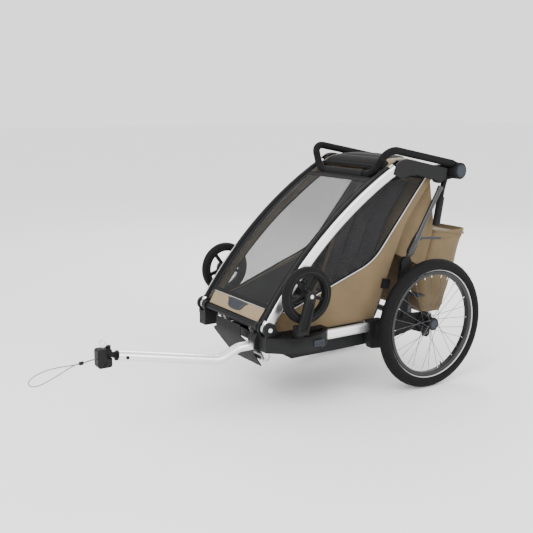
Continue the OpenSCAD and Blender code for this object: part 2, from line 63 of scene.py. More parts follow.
def catmull(pts, n, closed=False):
    out, m = [], len(pts)
    rng = range(m) if closed else range(m - 1)
    for i in rng:
        p1, p2 = pts[i], pts[(i + 1) % m]
        p0 = pts[(i - 1) % m] if (closed or i > 0) else p1
        p3 = pts[(i + 2) % m] if (closed or i < m - 2) else p2
        for k in range(n):
            t = k / n
            out.append(tuple(0.5 * (2 * b + (c - a) * t + (2 * a - 5 * b + 4 * c - d) * t * t + (3 * b - a - 3 * c + d) * t ** 3)
                             for a, b, c, d in zip(p0, p1, p2, p3)))
    if not closed:
        out.append(tuple(pts[-1]))
    return out

def resample(pts, n):
    pts = [Vector(p) for p in pts]
    cum = [0.0]
    for a, b in zip(pts, pts[1:]):
        cum.append(cum[-1] + (b - a).length)
    out, j = [], 0
    for i in range(n):
        s = cum[-1] * i / (n - 1)
        while j < len(cum) - 2 and cum[j + 1] < s:
            j += 1
        d = cum[j + 1] - cum[j]
        out.append(pts[j].lerp(pts[j + 1], (s - cum[j]) / d if d > 0 else 0))
    return out

def make(name, verts, faces, mat, body=None, angle=40.0, smooth=True):
    me = bpy.data.meshes.new(name)
    me.from_pydata([tuple(v) for v in verts], [], faces)
    me.validate()
    bm = bmesh.new(); bm.from_mesh(me)
    bmesh.ops.remove_doubles(bm, verts=bm.verts, dist=1e-6)
    bmesh.ops.recalc_face_normals(bm, faces=bm.faces)
    bm.to_mesh(me); bm.free()
    ob = bpy.data.objects.new(name, me)
    bpy.context.scene.collection.objects.link(ob)
    if smooth:
        for p in me.polygons:
            p.use_smooth = True
        me.set_sharp_from_angle(angle=math.radians(angle))
    me.materials.append(mat)
    if body:
        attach(ob, body)
    return ob

def grid_faces(nu, nv, close_u=False, close_v=False, base=0):
    f = []
    for i in range(nu if close_u else nu - 1):
        for j in range(nv if close_v else nv - 1):
            a, b = i, (i + 1) % nu
            c, d = j, (j + 1) % nv
            f.append((base + a * nv + c, base + b * nv + c, base + b * nv + d, base + a * nv + d))
    return f

def sheet(name, rows, t, mat, body=None, close_u=False, normal=None):
    """rows[i][j] points in metres; a closed shell t mm thick. normal(i, j) gives the way the thickness goes."""
    nu, nv = len(rows), len(rows[0])
    v0 = [Vector(p) for r in rows for p in r]
    def nrm(i, j):
        if normal is not None:
            return normal
        a = v0[min(i + 1, nu - 1) * nv + j] - v0[max(i - 1, 0) * nv + j] if not close_u else v0[((i + 1) % nu) * nv + j] - v0[((i - 1) % nu) * nv + j]
        b = v0[i * nv + min(j + 1, nv - 1)] - v0[i * nv + max(j - 1, 0)]
        n = a.cross(b)
        return n.normalized() if n.length > 1e-12 else Vector((0, 0, 1))
    v1 = [v0[i * nv + j] + nrm(i, j) * (t / 1000.0) for i in range(nu) for j in range(nv)]
    f = grid_faces(nu, nv, close_u)
    k = nu * nv
    f += [(a + k, d + k, c + k, b + k) for a, b, c, d in f]
    if close_u:
        for i in range(nu):
            i2 = (i + 1) % nu
            f.append((i * nv, i * nv + k, i2 * nv + k, i2 * nv))
            f.append((i * nv + nv - 1, i2 * nv + nv - 1, i2 * nv + nv - 1 + k, i * nv + nv - 1 + k))
    else:
        loop = [i * nv for i in range(nu)] + [(nu - 1) * nv + j for j in range(1, nv)] + [i * nv + nv - 1 for i in range(nu - 2, -1, -1)] + [j for j in range(nv - 2, 0, -1)]
        for a, b in zip(loop, loop[1:] + loop[:1]):
            f.append((a, b, b + k, a + k))
    return make(name, v0 + v1, f, mat, body)

def tube(name, pts, r, mat, body=None, n=12, closed=False, flat=None, caps=True):
    """a tube of radius r mm along pts (metres); flat=(h, w, up) gives a flat section instead."""
    pts = [Vector(p) for p in pts]
    m = len(pts)
    verts = []
    ref = None
    for i, p in enumerate(pts):
        if closed:
            t = (pts[(i + 1) % m] - pts[(i - 1) % m]).normalized()
        else:
            t = (pts[min(i + 1, m - 1)] - pts[max(i - 1, 0)]).normalized()
        if ref is None:
            ref = Vector((1, 0, 0)) if abs(t.x) < 0.8 else Vector((0, 0, 1))
        if flat:
            ref = Vector(flat[2])
        u = (ref - t * ref.dot(t)).normalized()
        w = t.cross(u)
        if not flat:
            ref = u
        for k in range(n):
            a = 2 * math.pi * k / n
            if flat:
                c, s = math.cos(a), math.sin(a)
                e = 0.35
                c = math.copysign(abs(c) ** e, c); s = math.copysign(abs(s) ** e, s)
                verts.append(p + (u * c * flat[0] / 2 + w * s * flat[1] / 2) / 1000.0)
            else:
                verts.append(p + (u * math.cos(a) + w * math.sin(a)) * r / 1000.0)
    f = []
    for i in range(m if closed else m - 1):
        for k in range(n):
            f.append((i * n + k, i * n + (k + 1) % n, ((i + 1) % m) * n + (k + 1) % n, ((i + 1) % m) * n + k))
    if not closed and caps:
        f.append(tuple(range(n - 1, -1, -1)))
        f.append(tuple((m - 1) * n + k for k in range(n)))
    return make(name, verts, f, mat, body)

def extrude_x(name, poly, x0, x1, mat, body=None, bevel=0.0):
    k = len(poly)
    v = [P(x0, *p) for p in poly] + [P(x1, *p) for p in poly]
    f = [tuple(range(k)), tuple(range(2 * k - 1, k - 1, -1))]
    f += [(i, (i + 1) % k, (i + 1) % k + k, i + k) for i in range(k)]
    ob = make(name, v, f, mat, body, angle=30)
    if bevel:
        b = ob.modifiers.new("bevel", "BEVEL"); b.width = bevel / 1000.0; b.segments = 3; b.limit_method = "ANGLE"; b.angle_limit = math.radians(30)
    return ob

def cloth(ob, flat, area=None):
    """returns the sheet unchanged. flat and area are those of the cut pattern, never read back from the mesh; area is
    given only where the cut isn't a rectangle. flat and area are not used"""
    return ob

def cut_area(pts):
    """square metres inside a closed outline in millimetres"""
    return abs(sum(a[0] * b[1] - b[0] * a[1] for a, b in zip(pts, pts[1:] + pts[:1]))) / 2e6

def cut_rect(pts):
    """width and length, in metres, of the smallest rectangle this outline can be cut from"""
    best = None
    for k in range(180):
        c, s = math.cos(math.radians(k / 2)), math.sin(math.radians(k / 2))
        u, v = [p[0] * c + p[1] * s for p in pts], [p[1] * c - p[0] * s for p in pts]
        w, l = sorted((max(u) - min(u), max(v) - min(v)))
        if best is None or w * l < best[0] * best[1]:
            best = (w, l)
    return best[0] / 1000, best[1] / 1000

def fbm(p, s, o=3):
    v, a = 0.0, 1.0
    q = Vector(p) * s
    for _ in range(o):
        v += a * noise.noise(q)
        q = q * 2.03
        a *= 0.5
    return v

# ------------------------------------------------------------------ materials
def new_mat(name):
    m = bpy.data.materials.new(name)
    m.use_nodes = True
    nt = m.node_tree
    b = nt.nodes["Principled BSDF"]
    return m, nt, b

def nd(nt, kind, **kw):
    n = nt.nodes.new(kind)
    for k, v in kw.items():
        if k in n.inputs.keys():
            n.inputs[k].default_value = v
        else:
            setattr(n, k, v)
    return n

def obj_coord(nt):
    return nd(nt, "ShaderNodeTexCoord").outputs["Object"]

def ramp(nt, src, stops):
    r = nt.nodes.new("ShaderNodeValToRGB")
    nt.links.new(src, r.inputs["Fac"])
    el = r.color_ramp.elements
    while len(el) < len(stops):
        el.new(0.5)
    for e, (pos, col) in zip(el, stops):
        e.position = pos
        e.color = (*col, 1.0) if len(col) == 3 else col
    return r.outputs["Color"]

def mix(nt, fac, a, b, mode="MIX"):
    m = nt.nodes.new("ShaderNodeMix")
    m.data_type = "RGBA"; m.blend_type = mode
    for key, val in ((0, fac), (6, a), (7, b)):
        if isinstance(val, (int, float)):
            m.inputs[key].default_value = val
        elif isinstance(val, tuple):
            m.inputs[key].default_value = (*val, 1.0) if len(val) == 3 else val
        else:
            nt.links.new(val, m.inputs[key])
    return m.outputs[2]

def math_n(nt, op, a, b=None, clamp=False):
    m = nt.nodes.new("ShaderNodeMath"); m.operation = op; m.use_clamp = clamp
    for i, val in enumerate((a, b)):
        if val is None:
            continue
        if isinstance(val, (int, float)):
            m.inputs[i].default_value = val
        else:
            nt.links.new(val, m.inputs[i])
    return m.outputs[0]

def bump(nt, b, height, strength, dist, prev=None):
    n = nd(nt, "ShaderNodeBump", Strength=strength, Distance=dist)
    nt.links.new(height, n.inputs["Height"])
    if prev is not None:
        nt.links.new(prev, n.inputs["Normal"])
    nt.links.new(n.outputs["Normal"], b.inputs["Normal"])
    return n.outputs["Normal"]

def weave_height(nt, co, pitch):
    """a plain weave: crossed waves along the two main directions of the cloth"""
    sep = nt.nodes.new("ShaderNodeSeparateXYZ"); nt.links.new(co, sep.inputs[0])
    k = 2 * math.pi / pitch
    u = math_n(nt, "ADD", sep.outputs[0], sep.outputs[1])
    a = math_n(nt, "SINE", math_n(nt, "MULTIPLY", u, k))
    c = math_n(nt, "SINE", math_n(nt, "MULTIPLY", sep.outputs[2], k))
    return math_n(nt, "MULTIPLY", a, c)

def fabric(name, col, dark=0.82, light=1.12, pitch=0.0022, weave=0.25, rough=0.86, sheen=0.25, mottled=9.0, wrinkle=0.2):
    m, nt, b = new_mat(name)
    co = obj_coord(nt)
    nz = nd(nt, "ShaderNodeTexNoise", Scale=mottled, Detail=5.0, Roughness=0.6); nt.links.new(co, nz.inputs["Vector"])
    base = ramp(nt, nz.outputs["Fac"], [(0.3, tuple(c * dark for c in col)), (0.7, tuple(min(1, c * light) for c in col))])
    w = weave_height(nt, co, pitch)
    wf = math_n(nt, "MULTIPLY_ADD", w, 0.5); wf.node.inputs[2].default_value = 0.5
    base = mix(nt, 0.22, base, ramp(nt, wf, [(0.0, tuple(c * 0.55 for c in col)), (1.0, tuple(min(1, c * 1.35) for c in col))]))
    fine = nd(nt, "ShaderNodeTexNoise", Scale=420.0, Detail=2.0, Roughness=0.5); nt.links.new(co, fine.inputs["Vector"])
    nt.links.new(base, b.inputs["Base Color"])
    rr = nt.nodes.new("ShaderNodeMapRange"); nt.links.new(nz.outputs["Fac"], rr.inputs[0])
    rr.inputs[3].default_value = rough - 0.08; rr.inputs[4].default_value = min(1.0, rough + 0.08)
    nt.links.new(rr.outputs[0], b.inputs["Roughness"])
    h = math_n(nt, "ADD", wf, math_n(nt, "MULTIPLY", fine.outputs["Fac"], 0.6))
    big = nd(nt, "ShaderNodeTexNoise", Scale=14.0, Detail=3.0, Roughness=0.5); nt.links.new(co, big.inputs["Vector"])
    p = bump(nt, b, big.outputs["Fac"], wrinkle, 0.006)
    bump(nt, b, h, weave, 0.0006, p)
    b.inputs["Sheen Weight"].default_value = sheen
    b.inputs["Sheen Roughness"].default_value = 0.5
    b.inputs["Specular IOR Level"].default_value = 0.15
    return m

def plastic(name, col, rough=0.45, grain=900.0, g_str=0.12, spec=0.45, edge_lift=1.25):
    m, nt, b = new_mat(name)
    co = obj_coord(nt)
    nz = nd(nt, "ShaderNodeTexNoise", Scale=22.0, Detail=4.0, Roughness=0.55); nt.links.new(co, nz.inputs["Vector"])
    base = ramp(nt, nz.outputs["Fac"], [(0.3, tuple(c * 0.86 for c in col)), (0.75, tuple(min(1, c * 1.12) for c in col))])
    # convex edges, found by pointiness, are a little lighter
    geo = nt.nodes.new("ShaderNodeNewGeometry")
    edge = ramp(nt, geo.outputs["Pointiness"], [(0.5, (0, 0, 0)), (0.58, (1, 1, 1))])
    base = mix(nt, math_n(nt, "MULTIPLY", edge, 0.5), base, tuple(min(1, c * edge_lift + 0.012) for c in col))
    nt.links.new(base, b.inputs["Base Color"])
    rr = nt.nodes.new("ShaderNodeMapRange"); nt.links.new(nz.outputs["Fac"], rr.inputs[0])
    rr.inputs[3].default_value = rough - 0.07; rr.inputs[4].default_value = rough + 0.09
    nt.links.new(rr.outputs[0], b.inputs["Roughness"])
    gr = nd(nt, "ShaderNodeTexVoronoi", Scale=grain); nt.links.new(co, gr.inputs["Vector"])
    bump(nt, b, gr.outputs["Distance"], g_str, 0.0004)
    b.inputs["Specular IOR Level"].default_value = spec
    return m

def metal(name, col, rough=0.28, brushed=True, metallic=1.0, coat=0.0, axis="arc"):
    m, nt, b = new_mat(name)
    co = obj_coord(nt)
    mp = nt.nodes.new("ShaderNodeMapping"); nt.links.new(co, mp.inputs["Vector"])
    mp.inputs["Scale"].default_value = (420.0, 14.0, 14.0) if brushed else (60.0, 60.0, 60.0)
    nz = nd(nt, "ShaderNodeTexNoise", Scale=1.0, Detail=3.0, Roughness=0.6); nt.links.new(mp.outputs[0], nz.inputs["Vector"])
    base = ramp(nt, nz.outputs["Fac"], [(0.2, tuple(c * 0.93 for c in col)), (0.8, tuple(min(1, c * 1.05) for c in col))])
    nt.links.new(base, b.inputs["Base Color"])
    rr = nt.nodes.new("ShaderNodeMapRange"); nt.links.new(nz.outputs["Fac"], rr.inputs[0])
    rr.inputs[3].default_value = rough - 0.05; rr.inputs[4].default_value = rough + 0.08
    nt.links.new(rr.outputs[0], b.inputs["Roughness"])
    bump(nt, b, nz.outputs["Fac"], 0.04, 0.0003)
    b.inputs["Metallic"].default_value = metallic
    b.inputs["Coat Weight"].default_value = coat
    b.inputs["Coat Roughness"].default_value = 0.2
    return m

KHAKI = (0.146, 0.103, 0.052)
KHAKI_L = (0.255, 0.186, 0.106)
M_khaki = fabric("khaki_cloth", KHAKI, sheen=0.2)
M_strip = fabric("khaki_strip_cloth", KHAKI_L, sheen=0.2, mottled=16.0)
M_liner = fabric("inner_liner", (0.018, 0.018, 0.0185), sheen=0.1, weave=0.1)
M_dark = fabric("dark_cloth", (0.0072, 0.0072, 0.0078), sheen=0.05, rough=0.9)
# footwell cloth: a dark cloth whose colour is made darker still as painted shade for this down-facing panel
M_footwell_shaded = fabric("footwell_cloth", (0.0085, 0.0085, 0.009), sheen=0.05, pitch=0.003, weave=0.3)
M_seat = fabric("seat_cloth", (0.022, 0.022, 0.024), sheen=0.12, pitch=0.002, weave=0.08)
M_web = fabric("webbing_cloth", (0.008, 0.008, 0.009), pitch=0.0016, weave=0.5, sheen=0.2)
M_binding = fabric("binding_cloth", (0.005, 0.005, 0.0055), pitch=0.0014, weave=0.3, sheen=0.06)
M_plastic = plastic("black_moulding", (0.0045, 0.0045, 0.0049), rough=0.48, spec=0.11)
M_plastic2 = plastic("dark_moulding", (0.0058, 0.006, 0.0065), rough=0.52, grain=700.0, g_str=0.2, spec=0.11)
M_button = plastic("button_moulding", (0.020, 0.024, 0.031), rough=0.45, spec=0.2)
M_silver = metal("anodised_tube", (0.86, 0.86, 0.87), rough=0.30)
M_strut = metal("strut_paint", (0.0065, 0.007, 0.009), rough=0.32, brushed=False, metallic=0.1, coat=0.12)
M_barpaint = plastic("bar_paint", (0.010, 0.010, 0.011), rough=0.42, grain=1500.0, g_str=0.05)
M_rim = metal("rim_paint", (0.006, 0.006, 0.0065), rough=0.45, brushed=False, metallic=0.2, coat=0.05)
M_spoke = metal("spoke_steel", (0.10, 0.10, 0.105), rough=0.28, brushed=False)
M_steel = metal("pin_steel", (0.75, 0.75, 0.77), rough=0.16, brushed=False)
M_foam = plastic("grip_foam", (0.006, 0.006, 0.0065), rough=0.8, grain=450.0, g_str=0.5, spec=0.1)

def piping_mat():
    m, nt, b = new_mat("reflective_piping")
    co = obj_coord(nt)
    nz = nd(nt, "ShaderNodeTexNoise", Scale=260.0, Detail=2.0); nt.links.new(co, nz.inputs["Vector"])
    nt.links.new(ramp(nt, nz.outputs["Fac"], [(0.3, (0.42, 0.43, 0.44)), (0.7, (0.62, 0.62, 0.63))]), b.inputs["Base Color"])
    bump(nt, b, nz.outputs["Fac"], 0.2, 0.0004)
    b.inputs["Roughness"].default_value = 0.35
    b.inputs["Sheen Weight"].default_value = 0.3
    return m
M_piping = piping_mat()

def film_mat():
    m, nt, b = new_mat("window_film")
    co = obj_coord(nt)
    nz = nd(nt, "ShaderNodeTexNoise", Scale=7.0, Detail=4.0, Roughness=0.55); nt.links.new(co, nz.inputs["Vector"])
    nt.links.new(ramp(nt, nz.outputs["Fac"], [(0.3, (0.016, 0.016, 0.017)), (0.7, (0.034, 0.034, 0.036))]), b.inputs["Base Color"])
    bump(nt, b, nz.outputs["Fac"], 0.35, 0.01)
    b.inputs["Roughness"].default_value = 0.22
    b.inputs["Alpha"].default_value = 0.20
    b.inputs["Specular IOR Level"].default_value = 0.3
    m.surface_render_method = "BLENDED"
    return m
M_film = film_mat()

def mesh_mat():
    """open insect mesh: threads with holes between them"""
    m, nt, b = new_mat("open_mesh")
    co = obj_coord(nt)
    sep = nt.nodes.new("ShaderNodeSeparateXYZ"); nt.links.new(co, sep.inputs[0])
    pitch = 0.0017
    u = math_n(nt, "PINGPONG", sep.outputs[0], pitch / 2)
    v = math_n(nt, "PINGPONG", math_n(nt, "MULTIPLY", math_n(nt, "ADD", sep.outputs[1], sep.outputs[2]), 0.7071), pitch / 2)
    thr = 0.00025
    hole = math_n(nt, "MULTIPLY", math_n(nt, "GREATER_THAN", u, thr / 2 + 0.00004), math_n(nt, "GREATER_THAN", v, thr / 2 + 0.00004))
    alpha = math_n(nt, "SUBTRACT", 1.0, hole)
    nz = nd(nt, "ShaderNodeTexNoise", Scale=10.0, Detail=3.0); nt.links.new(co, nz.inputs["Vector"])
    nt.links.new(ramp(nt, nz.outputs["Fac"], [(0.3, (0.026, 0.026, 0.027)), (0.7, (0.040, 0.040, 0.041))]), b.inputs["Base Color"])
    nt.links.new(alpha, b.inputs["Alpha"])
    b.inputs["Roughness"].default_value = 0.7
    b.inputs["Specular IOR Level"].default_value = 0.2
    bump(nt, b, nz.outputs["Fac"], 0.2, 0.004)
    return m
M_mesh = mesh_mat()

def wheel_mat(name, cy, cz, stripe, rough, col, tread=None, line=(0.8, 0.8, 0.8)):
    """rubber of a wheel centred on (cy, cz): concentric moulding lines, a thin lighter ring and a fine tread; the ring
    is a reflective band on the tyre and a painted highlight on the castor
    """
    m, nt, b = new_mat(name)
    co = obj_coord(nt)
    sep = nt.nodes.new("ShaderNodeSeparateXYZ"); nt.links.new(co, sep.inputs[0])
    dy = math_n(nt, "SUBTRACT", sep.outputs[1], cy); dz = math_n(nt, "SUBTRACT", sep.outputs[2], cz)
    r = math_n(nt, "SQRT", math_n(nt, "ADD", math_n(nt, "MULTIPLY", dy, dy), math_n(nt, "MULTIPLY", dz, dz)))
    ang = math_n(nt, "ARCTAN2", dy, dz)
    nz = nd(nt, "ShaderNodeTexNoise", Scale=34.0, Detail=4.0); nt.links.new(co, nz.inputs["Vector"])
    base = ramp(nt, nz.outputs["Fac"], [(0.3, tuple(c * 0.8 for c in col)), (0.75, tuple(c * 1.25 for c in col))])
    # the ring: a reflective band on the tyre, a painted highlight on the castor
    if stripe:
        lo, hi = stripe
        ring = math_n(nt, "MULTIPLY", math_n(nt, "GREATER_THAN", r, lo), math_n(nt, "LESS_THAN", r, hi))
        base = mix(nt, ring, base, line)
    nt.links.new(base, b.inputs["Base Color"])
    rr = nt.nodes.new("ShaderNodeMapRange"); nt.links.new(nz.outputs["Fac"], rr.inputs[0])
    rr.inputs[3].default_value = rough - 0.06; rr.inputs[4].default_value = rough + 0.1
    nt.links.new(rr.outputs[0], b.inputs["Roughness"])
    rings = math_n(nt, "SINE", math_n(nt, "MULTIPLY", r, 2 * math.pi / 0.0035))
    h = math_n(nt, "MULTIPLY", rings, 0.3)
    if tread:
        r0, count = tread
        band = math_n(nt, "GREATER_THAN", r, r0)
        chev = math_n(nt, "SINE", math_n(nt, "ADD", math_n(nt, "MULTIPLY", ang, count), math_n(nt, "MULTIPLY", math_n(nt, "ABSOLUTE", math_n(nt, "SUBTRACT", math_n(nt, "ABSOLUTE", sep.outputs[0]), 0.304)), 500.0)))
        h = math_n(nt, "ADD", h, math_n(nt, "MULTIPLY", band, math_n(nt, "MULTIPLY", math_n(nt, "GREATER_THAN", chev, 0.2), 2.0)))
    bump(nt, b, h, 0.5, 0.0010)
    b.inputs["Specular IOR Level"].default_value = 0.10
    return m
M_tyre = wheel_mat("tyre_rubber", 0.518, 0.260, (0.2152, 0.2178), 0.65, (0.006, 0.006, 0.0065), (0.246, 150.0), (0.55, 0.55, 0.55))
# the castor's lighter ring at r 84.5 to 85.6 mm is a painted highlight, not a marking on the rubber
M_castor = wheel_mat("castor_rubber", -0.079, 0.4494, (0.0845, 0.0856), 0.55, (0.006, 0.006, 0.0065), None, (0.04, 0.04, 0.042))

def cable_mat():
    m, nt, b = new_mat("coated_cable")
    co = obj_coord(nt)
    wv = nd(nt, "ShaderNodeTexWave", Scale=300.0, Distortion=1.0); nt.links.new(co, wv.inputs["Vector"])
    nt.links.new(ramp(nt, wv.outputs["Fac"], [(0.2, (0.05, 0.05, 0.053)), (0.8, (0.14, 0.14, 0.147))]), b.inputs["Base Color"])
    bump(nt, b, wv.outputs["Fac"], 0.3, 0.0004)
    b.inputs["Roughness"].default_value = 0.35
    b.inputs["Coat Weight"].default_value = 0.6
    return m
M_cable = cable_mat()

def set_mat(ob, mat):
    ob.data.materials.clear()
    ob.data.materials.append(mat)

# ------------------------------------------------------------------ camera and cord first
cam_d = bpy.data.cameras.new("camera")
cam = bpy.data.objects.new("camera", cam_d)
bpy.context.scene.collection.objects.link(cam)
cam_d.sensor_width = 36.0
cam_d.lens = 55.88
cam_d.clip_end = 50.0
cam.location = (2.6243, -1.7481, 1.1347)
dirv = Vector((-0.82442, 0.52989, -0.19886))
cam.rotation_euler = dirv.to_track_quat("-Z", "Y").to_euler()
bpy.context.scene.camera = cam

leash_pts = [(177.6, -1346, 300), (177.6, -1352, 300), (177.6, -1362, 300), (177.6, -1385, 296.5), (177.6, -1408, 294.5), (177.4, -1430, 294.5), (177, -1455, 295),
  (176.5, -1482, 294.5), (176, -1508, 291.5), (176, -1532, 286), (176, -1552, 278), (176, -1565, 268), (176, -1568, 258),
  (176, -1561, 249.5), (176, -1548, 246.5), (176, -1532, 248), (175.5, -1512, 254), (175, -1490, 262), (174.8, -1466, 272),
  (174.6, -1444, 282), (174.4, -1426, 289.5), (174.4, -1408, 294.5), (174.4, -1385, 296.5), (174.4, -1362, 300), (174.4, -1352, 300), (174.4, -1346, 300)]
leash_path = [P(*p) for p in catmull(leash_pts, 6)]
leash = tube("safety_leash", leash_path, 1.5, M_cable, "hitch", n=12)
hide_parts("leash_cord")

# ------------------------------------------------------------------ CAD nodes: materials and softened edges
node_mat = {
    "side_rails": M_silver, "footwell_hoop": M_silver, "diagonal_tubes": M_silver, "tow_arm_tube": M_silver,
    "front_corner_left": M_plastic2, "front_corner_right": M_plastic2, "rear_corners": M_plastic2, "brake_units": M_plastic, "floor_pan": M_plastic2,
    "bumper_bar": M_plastic2, "tow_receiver": M_plastic, "side_buckles": M_plastic, "top_pods": M_plastic2, "grab_handles": M_plastic2,
    "hitch_neck": M_plastic, "hitch_body": M_plastic, "castor_left_stem": M_plastic, "castor_right_stem": M_plastic,
    "castor_left_fork": M_plastic2, "castor_right_fork": M_plastic2, "wheel_left_hub": M_plastic, "wheel_right_hub": M_plastic, "leash_toggle": M_plastic,
    "axle_beam": M_strut, "rear_struts": M_strut, "cross_tubes": M_strut,
    "castor_button_left": M_button, "castor_button_right": M_button, "strut_latch_left": M_button, "strut_latch_right": M_button,
    "handle_button_left": M_button, "handle_button_right": M_button, "wheel_left_button": M_button, "wheel_right_button": M_button, "brake_pedal": M_button,
    "wheel_left_tyre": M_tyre, "wheel_right_tyre": M_tyre, "castor_left_wheel": M_castor, "castor_right_wheel": M_castor,
    "wheel_left_rim": M_rim, "wheel_right_rim": M_rim, "wheel_left_spokes": M_spoke, "wheel_right_spokes": M_spoke,
    "handlebar_grip": M_foam, "handlebar_tube": M_foam, "receiver_pin": M_steel, "hitch_pin": M_steel,
}
for n, m in node_mat.items():
    set_mat(N[n], m)
    me = N[n].data
    for p in me.polygons:
        p.use_smooth = True
    me.set_sharp_from_angle(angle=math.radians(32))
for n in ("front_corner_left", "front_corner_right", "rear_corners", "top_pods", "tow_receiver", "castor_left_fork", "castor_right_fork",
          "hitch_body", "brake_pedal", "strut_latch_left", "strut_latch_right", "castor_button_left", "castor_button_right", "brake_units", "side_buckles"):
    b = N[n].modifiers.new("bevel", "BEVEL")
    b.width = 0.0016 if "latch" not in n else 0.001
    b.segments = 2; b.limit_method = "ANGLE"; b.angle_limit = math.radians(38); b.use_clamp_overlap = True

# ------------------------------------------------------------------ cloth across the fold
FOLD_A = tuple(P(0, -300 , 330)); 
def fold_blend(ob):
    # direction (y, z) = (-0.3, 0.954) is worked out but not used; the function only bakes the sheet's transform into
    # its mesh
    d = Vector((0, -0.3, 0.954)).normalized()
    s = Vector(P(0, 0, 0)) ; base = s.dot(d)
    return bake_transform(ob)

WALL = [(-215, 272), (-102, 545), (-60, 641), (75, 820)]
# outline pairs of the side panel: outer edge, window edge
n_arc = 30
outer, inner = [], []
for i in range(n_arc):
    t = i / (n_arc - 1)
    outer.append(arc_p(AR - 4, lerp(147.0, 119.2, t)))
    inner.append(arc_p(AR - 27, lerp(144.3, 119.6, t)))
top_o = catmull([arc_p(AR - 4, 119.2), (-95, 862), (-40, 858), (68, 834)], 5)[1:]
top_i = catmull([arc_p(AR - 27, 119.6), (-95, 828), (-35, 830), (32, 822)], 5)[1:]
rear_o = catmull([(68, 834), (75, 818), (8, 731), (-60, 641), (-81, 593), (-102, 545), (-140, 455), (-180, 357), (-215, 276)], 5)[1:]
rear_i = catmull([(32, 822), (33, 815), (-14, 758), (-62, 699), (-122, 626), (-179, 556), (-212, 523), (-258, 494), (-330, 467)], 5)[1:]
bot_o = catmull([(-215, 276), (-320, 274), (-440, 274), (-560, 274), (-664, 276), (-712, 298)], 6)[1:]
bot_i = catmull([(-330, 467), (-400, 442), (-460, 420), (-530, 394), (-590, 372), (-640, 362)], 6)[1:]
outer += top_o + rear_o + bot_o
inner += top_i + rear_i + bot_i
cx_w, cz_w = -250, 640

def panel_x(y, z, k):
    """bulge and tension folds of a side panel; k runs 0 at the edge to 1 at the window seam"""
    edge = math.sin(math.pi * min(1.0, max(0.0, k)))
    low = max(0.0, min(1.0, (520 - z) / 240.0))
    b = 3.2 * edge * (0.5 + low)
    p = Vector((y / 160.0, z / 160.0, 0.3))
    b += 1.5 * edge * noise.noise(p * 1.3) * (0.6 + low)
    # folds fanning out from the rear lower corner and down from the window seam
    a = math.atan2(z - 250, y + 205)
    r = math.hypot(z - 250, y + 205)
    b += 1.6 * edge * math.sin(a * 19.0 + 0.8 * math.sin(r / 60.0)) * math.exp(-((r - 120) / 130.0) ** 2)
    return b

for sd, sg in (("left", 1), ("right", -1)):
    m = 9
    rows = []
    for o, i_ in zip(outer, inner):
        row = []
        for j in range(m):
            k = j / (m - 1)
            y, z = lerp(o[0], i_[0], k), lerp(o[1], i_[1], k)
            row.append(P(sg * (204.6 + panel_x(y, z, k) * 0.9), y, z))
        rows.append(row)
    ob = sheet("side_panel_" + sd, rows, 1.4, M_khaki, None, close_u=True, normal=Vector((-sg, 0, 0)))
    sub = ob.modifiers.new("sub", "SUBSURF"); sub.levels = 1; sub.render_levels = 1
    fold_blend(ob)
    if sd == "left":
        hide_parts("body_fabric")
    cloth(ob, cut_rect(outer), cut_area(outer) - cut_area(inner))
    # the window film, a little slack, with soft creases
    nn = len(inner)
    rows = []
    rings = 10
    for p in inner:
        row = []
        for j in range(rings):
            k = j / (rings - 1)
            kk = k * 0.985
            y, z = lerp(p[0], cx_w - 18 * (1 - kk), kk), lerp(p[1], cz_w, kk)
            d = 1.8 * math.sin(math.pi * min(1, k * 1.1)) * noise.noise(Vector((y / 85.0, z / 210.0, 1.7))) - 2.0 * min(1, k * 2)
            row.append(P(sg * (204.0 + d), y, z))
        rows.append(row)
    ob = sheet("side_window_" + sd, rows, 0.5, M_film, None, close_u=True, normal=Vector((-sg, 0, 0)))
    fold_blend(ob)
    if sd == "left":
        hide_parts("side_windows")
    cloth(ob, cut_rect(inner), cut_area(inner))
    # reflective piping and black binding round the rear and lower edge of the window
    seam = inner[n_arc - 1 + len(top_i):]
    path = [P(sg * 206.6, y, z) for y, z in seam]
    pp = tube("window_piping_" + sd, path, 1.9, M_piping, None, n=10)
    fold_blend(pp)
    bind = []
    for y, z in inner:
        dv = Vector((cx_w - y, cz_w - z)).normalized()
        bind.append(P(sg * 205.4, y + dv.x * 5.5, z + dv.y * 5.5))
    bb = tube("window_binding_" + sd, bind, 1, M_binding, None, n=12, closed=True, flat=(1.8, 8.5, (1, 0, 0)))
    fold_blend(bb)

# rear wall of the cabin, sagging a little between its edges
prof = resample([(y, z, 0) for y, z in catmull(WALL, 8)], 40)
rows = []
for i, p in enumerate(prof):
    row = []
    for j in range(25):
        u = j / 24 * 2 - 1
        sag = 5.0 * (1 - u * u) + 1.2 * noise.noise(Vector((u * 3.1, i / 7.0, 4.4)))
        row.append(P(203.0 * u, p.x - 2.0 + sag * 0.6, p.y))
    rows.append(row)
ob = sheet("rear_wall", rows, 1.4, M_khaki, None)
fold_blend(ob)
cloth(ob, (0.406, 0.63))
